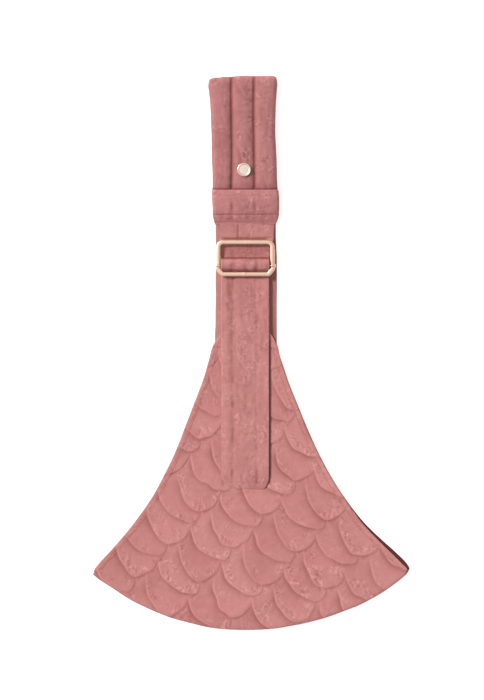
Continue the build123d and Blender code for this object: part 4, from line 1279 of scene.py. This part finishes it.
ring = corner_path([(-42.2, 143.2), (27.4, 143.2), (27.5, 113.5), (28.6, 109.6), (22.7, 102.0), (-36.6, 102.0), (-43.3, 109.6), (-42.3, 113.5)],
                   [7.6, 7.6, 1.8, 2.2, 3.0, 3.0, 2.2, 1.8])
ring = ring[::-1]
hw = np.full(len(ring), 2.85)
hh = np.full(len(ring), 1.65)
weld = np.exp(-(((ring[:, 0] + 8.5) / 1.7) ** 2)) * (ring[:, 1] < 104)
hw, hh = hw + 0.18 * weld, hh + 0.22 * weld
parts = []
v_, f_ = tube_loop(ring, hw, hh, PIN_Z)
parts.append((v_, f_, v_[:, :2], 0))
for cx, inward in ((-43.5, 1), (29.2, -1)):
    prof = [(0, -2.9), (1.3, -2.75), (2.05, -2.2), (2.45, -1.3), (2.55, 0.0), (2.6, 1.6), (2.55, 3.0), (2.2, 4.2), (1.4, 4.8), (0, 4.95)]
    lv, lf = lathe([(r_, h_) for r_, h_ in prof], 0, 0, 28)
    # the profile's axis is turned to X, its rounded head outwards
    sgn = -inward
    w_ = np.column_stack([cx - sgn * lv[:, 2] * 0.95, PIN_Y + lv[:, 0], PIN_Z + lv[:, 1] * (1 if sgn > 0 else -1)])
    if sgn > 0:
        pass
    parts.append((w_, lf, w_[:, :2], 0))
o = join_meshes("slider_frame", parts)
o.data.materials.append(M_GOLD)
done(o, M_GOLD, "rose_gold", ["slider_frame"], body="slider")
lv, lf = lathe([(0, -38.2), (1.1, -38.2), (1.38, -37.8), (1.38, 37.8), (1.1, 38.2), (0, 38.2)], 0, 0, 32)
w_ = np.column_stack([-6.8 + lv[:, 2], PIN_Y + lv[:, 0], PIN_Z + lv[:, 1]])
o = build("slider_center_bar", w_, lf, w_[:, :2])
done(o, M_GOLD, "rose_gold", ["slider_center_bar"], body="slider")

BX, BY, BZ = -9.0, 235.8, 18.55
cap = [(2.2, BZ + 0.5), (2.2, BZ + 0.05), (7.7, BZ + 0.0), (8.35, BZ + 0.12), (8.75, BZ + 0.55), (8.85, BZ + 1.05), (8.75, BZ + 1.55),
       (8.4, BZ + 1.95), (7.9, BZ + 2.12), (7.35, BZ + 2.08), (6.9, BZ + 1.86), (6.6, BZ + 1.66), (6.2, BZ + 1.60), (4.5, BZ + 1.66),
       (2.5, BZ + 1.74), (1.0, BZ + 1.78), (0, BZ + 1.79)]
lv, lf = lathe(cap, BX, BY, 96)
o = build("button_cap", lv, [f[::-1] for f in lf], lv[:, :2])
done(o, M_BUTTON, "button_metal", ["button_cap"], body="upper")
tack = [(0, BZ - 3.3), (4.6, BZ - 3.3), (4.95, BZ - 3.1), (4.95, BZ - 2.7), (4.6, BZ - 2.45), (1.8, BZ - 2.3), (1.75, BZ + 0.7), (1.4, BZ + 0.95), (0, BZ + 1.0)]
lv, lf = lathe(tack, BX, BY, 48)
o = build("button_tack", lv, [f[::-1] for f in lf], lv[:, :2])
done(o, M_BUTTON, "button_metal", ["button_tack"], body="upper")

# ---------------------------------------------------------------------------
# floor, light and camera
# ---------------------------------------------------------------------------
floor_mesh = bpy.data.meshes.new("floor")
floor_mesh.from_pydata([(-6, -6, -0.0004), (6, -6, -0.0004), (6, 6, -0.0004), (-6, 6, -0.0004)], [], [(0, 1, 2, 3)])
floor = link("floor", floor_mesh)
n = Nodes("floor")
n.b.inputs["Base Color"].default_value = (0.92, 0.92, 0.92, 1)
n.b.inputs["Emission Color"].default_value = (1.0, 0.995, 0.99, 1)
n.b.inputs["Emission Strength"].default_value = 0.62
n.b.inputs["Roughness"].default_value = 0.9
n.b.inputs["Specular IOR Level"].default_value = 0.1
floor_mesh.materials.append(n.mat)

scene = bpy.context.scene
world = bpy.data.worlds.new("world")
scene.world = world
world.use_nodes = True
world.node_tree.nodes["Background"].inputs[0].default_value = (1.0, 0.995, 0.99, 1)
world.node_tree.nodes["Background"].inputs[1].default_value = 0.42

sun = bpy.data.lights.new("key", "SUN")
sun.energy = 3.5
sun.angle = math.radians(14)
sun.color = (1.0, 0.985, 0.96)
so = bpy.data.objects.new("key", sun)
bpy.context.scene.collection.objects.link(so)
d = np.array([0.72, -0.47, -0.72])
from mathutils import Vector
so.rotation_euler = Vector(d).to_track_quat("-Z", "Y").to_euler()

box = bpy.data.lights.new("softbox", "AREA")
box.shape = "RECTANGLE"
box.size, box.size_y = 2.4, 2.4
box.energy = 7.0
bo = bpy.data.objects.new("softbox", box)
bo.location = (-0.35, 0.15, 2.75)
bo.rotation_euler = (0, math.radians(-7), 0)
bpy.context.scene.collection.objects.link(bo)

cam = bpy.data.cameras.new("camera")
cam.lens = 100.0
cam.sensor_width = 36.0
co_ = bpy.data.objects.new("camera", cam)
bpy.context.scene.collection.objects.link(co_)
co_.location = (-0.0116, 0.0043, 2.508 + 0.008)
co_.rotation_euler = (0, 0, 0)
scene.camera = co_
scene.view_settings.view_transform = "Standard"

# ---------------------------------------------------------------------------
# the cut sizes of the cloth pieces, in metres
# ---------------------------------------------------------------------------


def cut_area(*lines):
    """Area in square metres inside a closed outline in mm."""
    q = np.vstack(lines)
    return abs(float(np.sum(q[:, 0] * np.roll(q[:, 1], -1) - np.roll(q[:, 0], -1) * q[:, 1]))) / 2 * 1e-6


front_cut = cut_area(fl, arc, fr[::-1])
back_cut = cut_area(bl, arc, br[::-1])
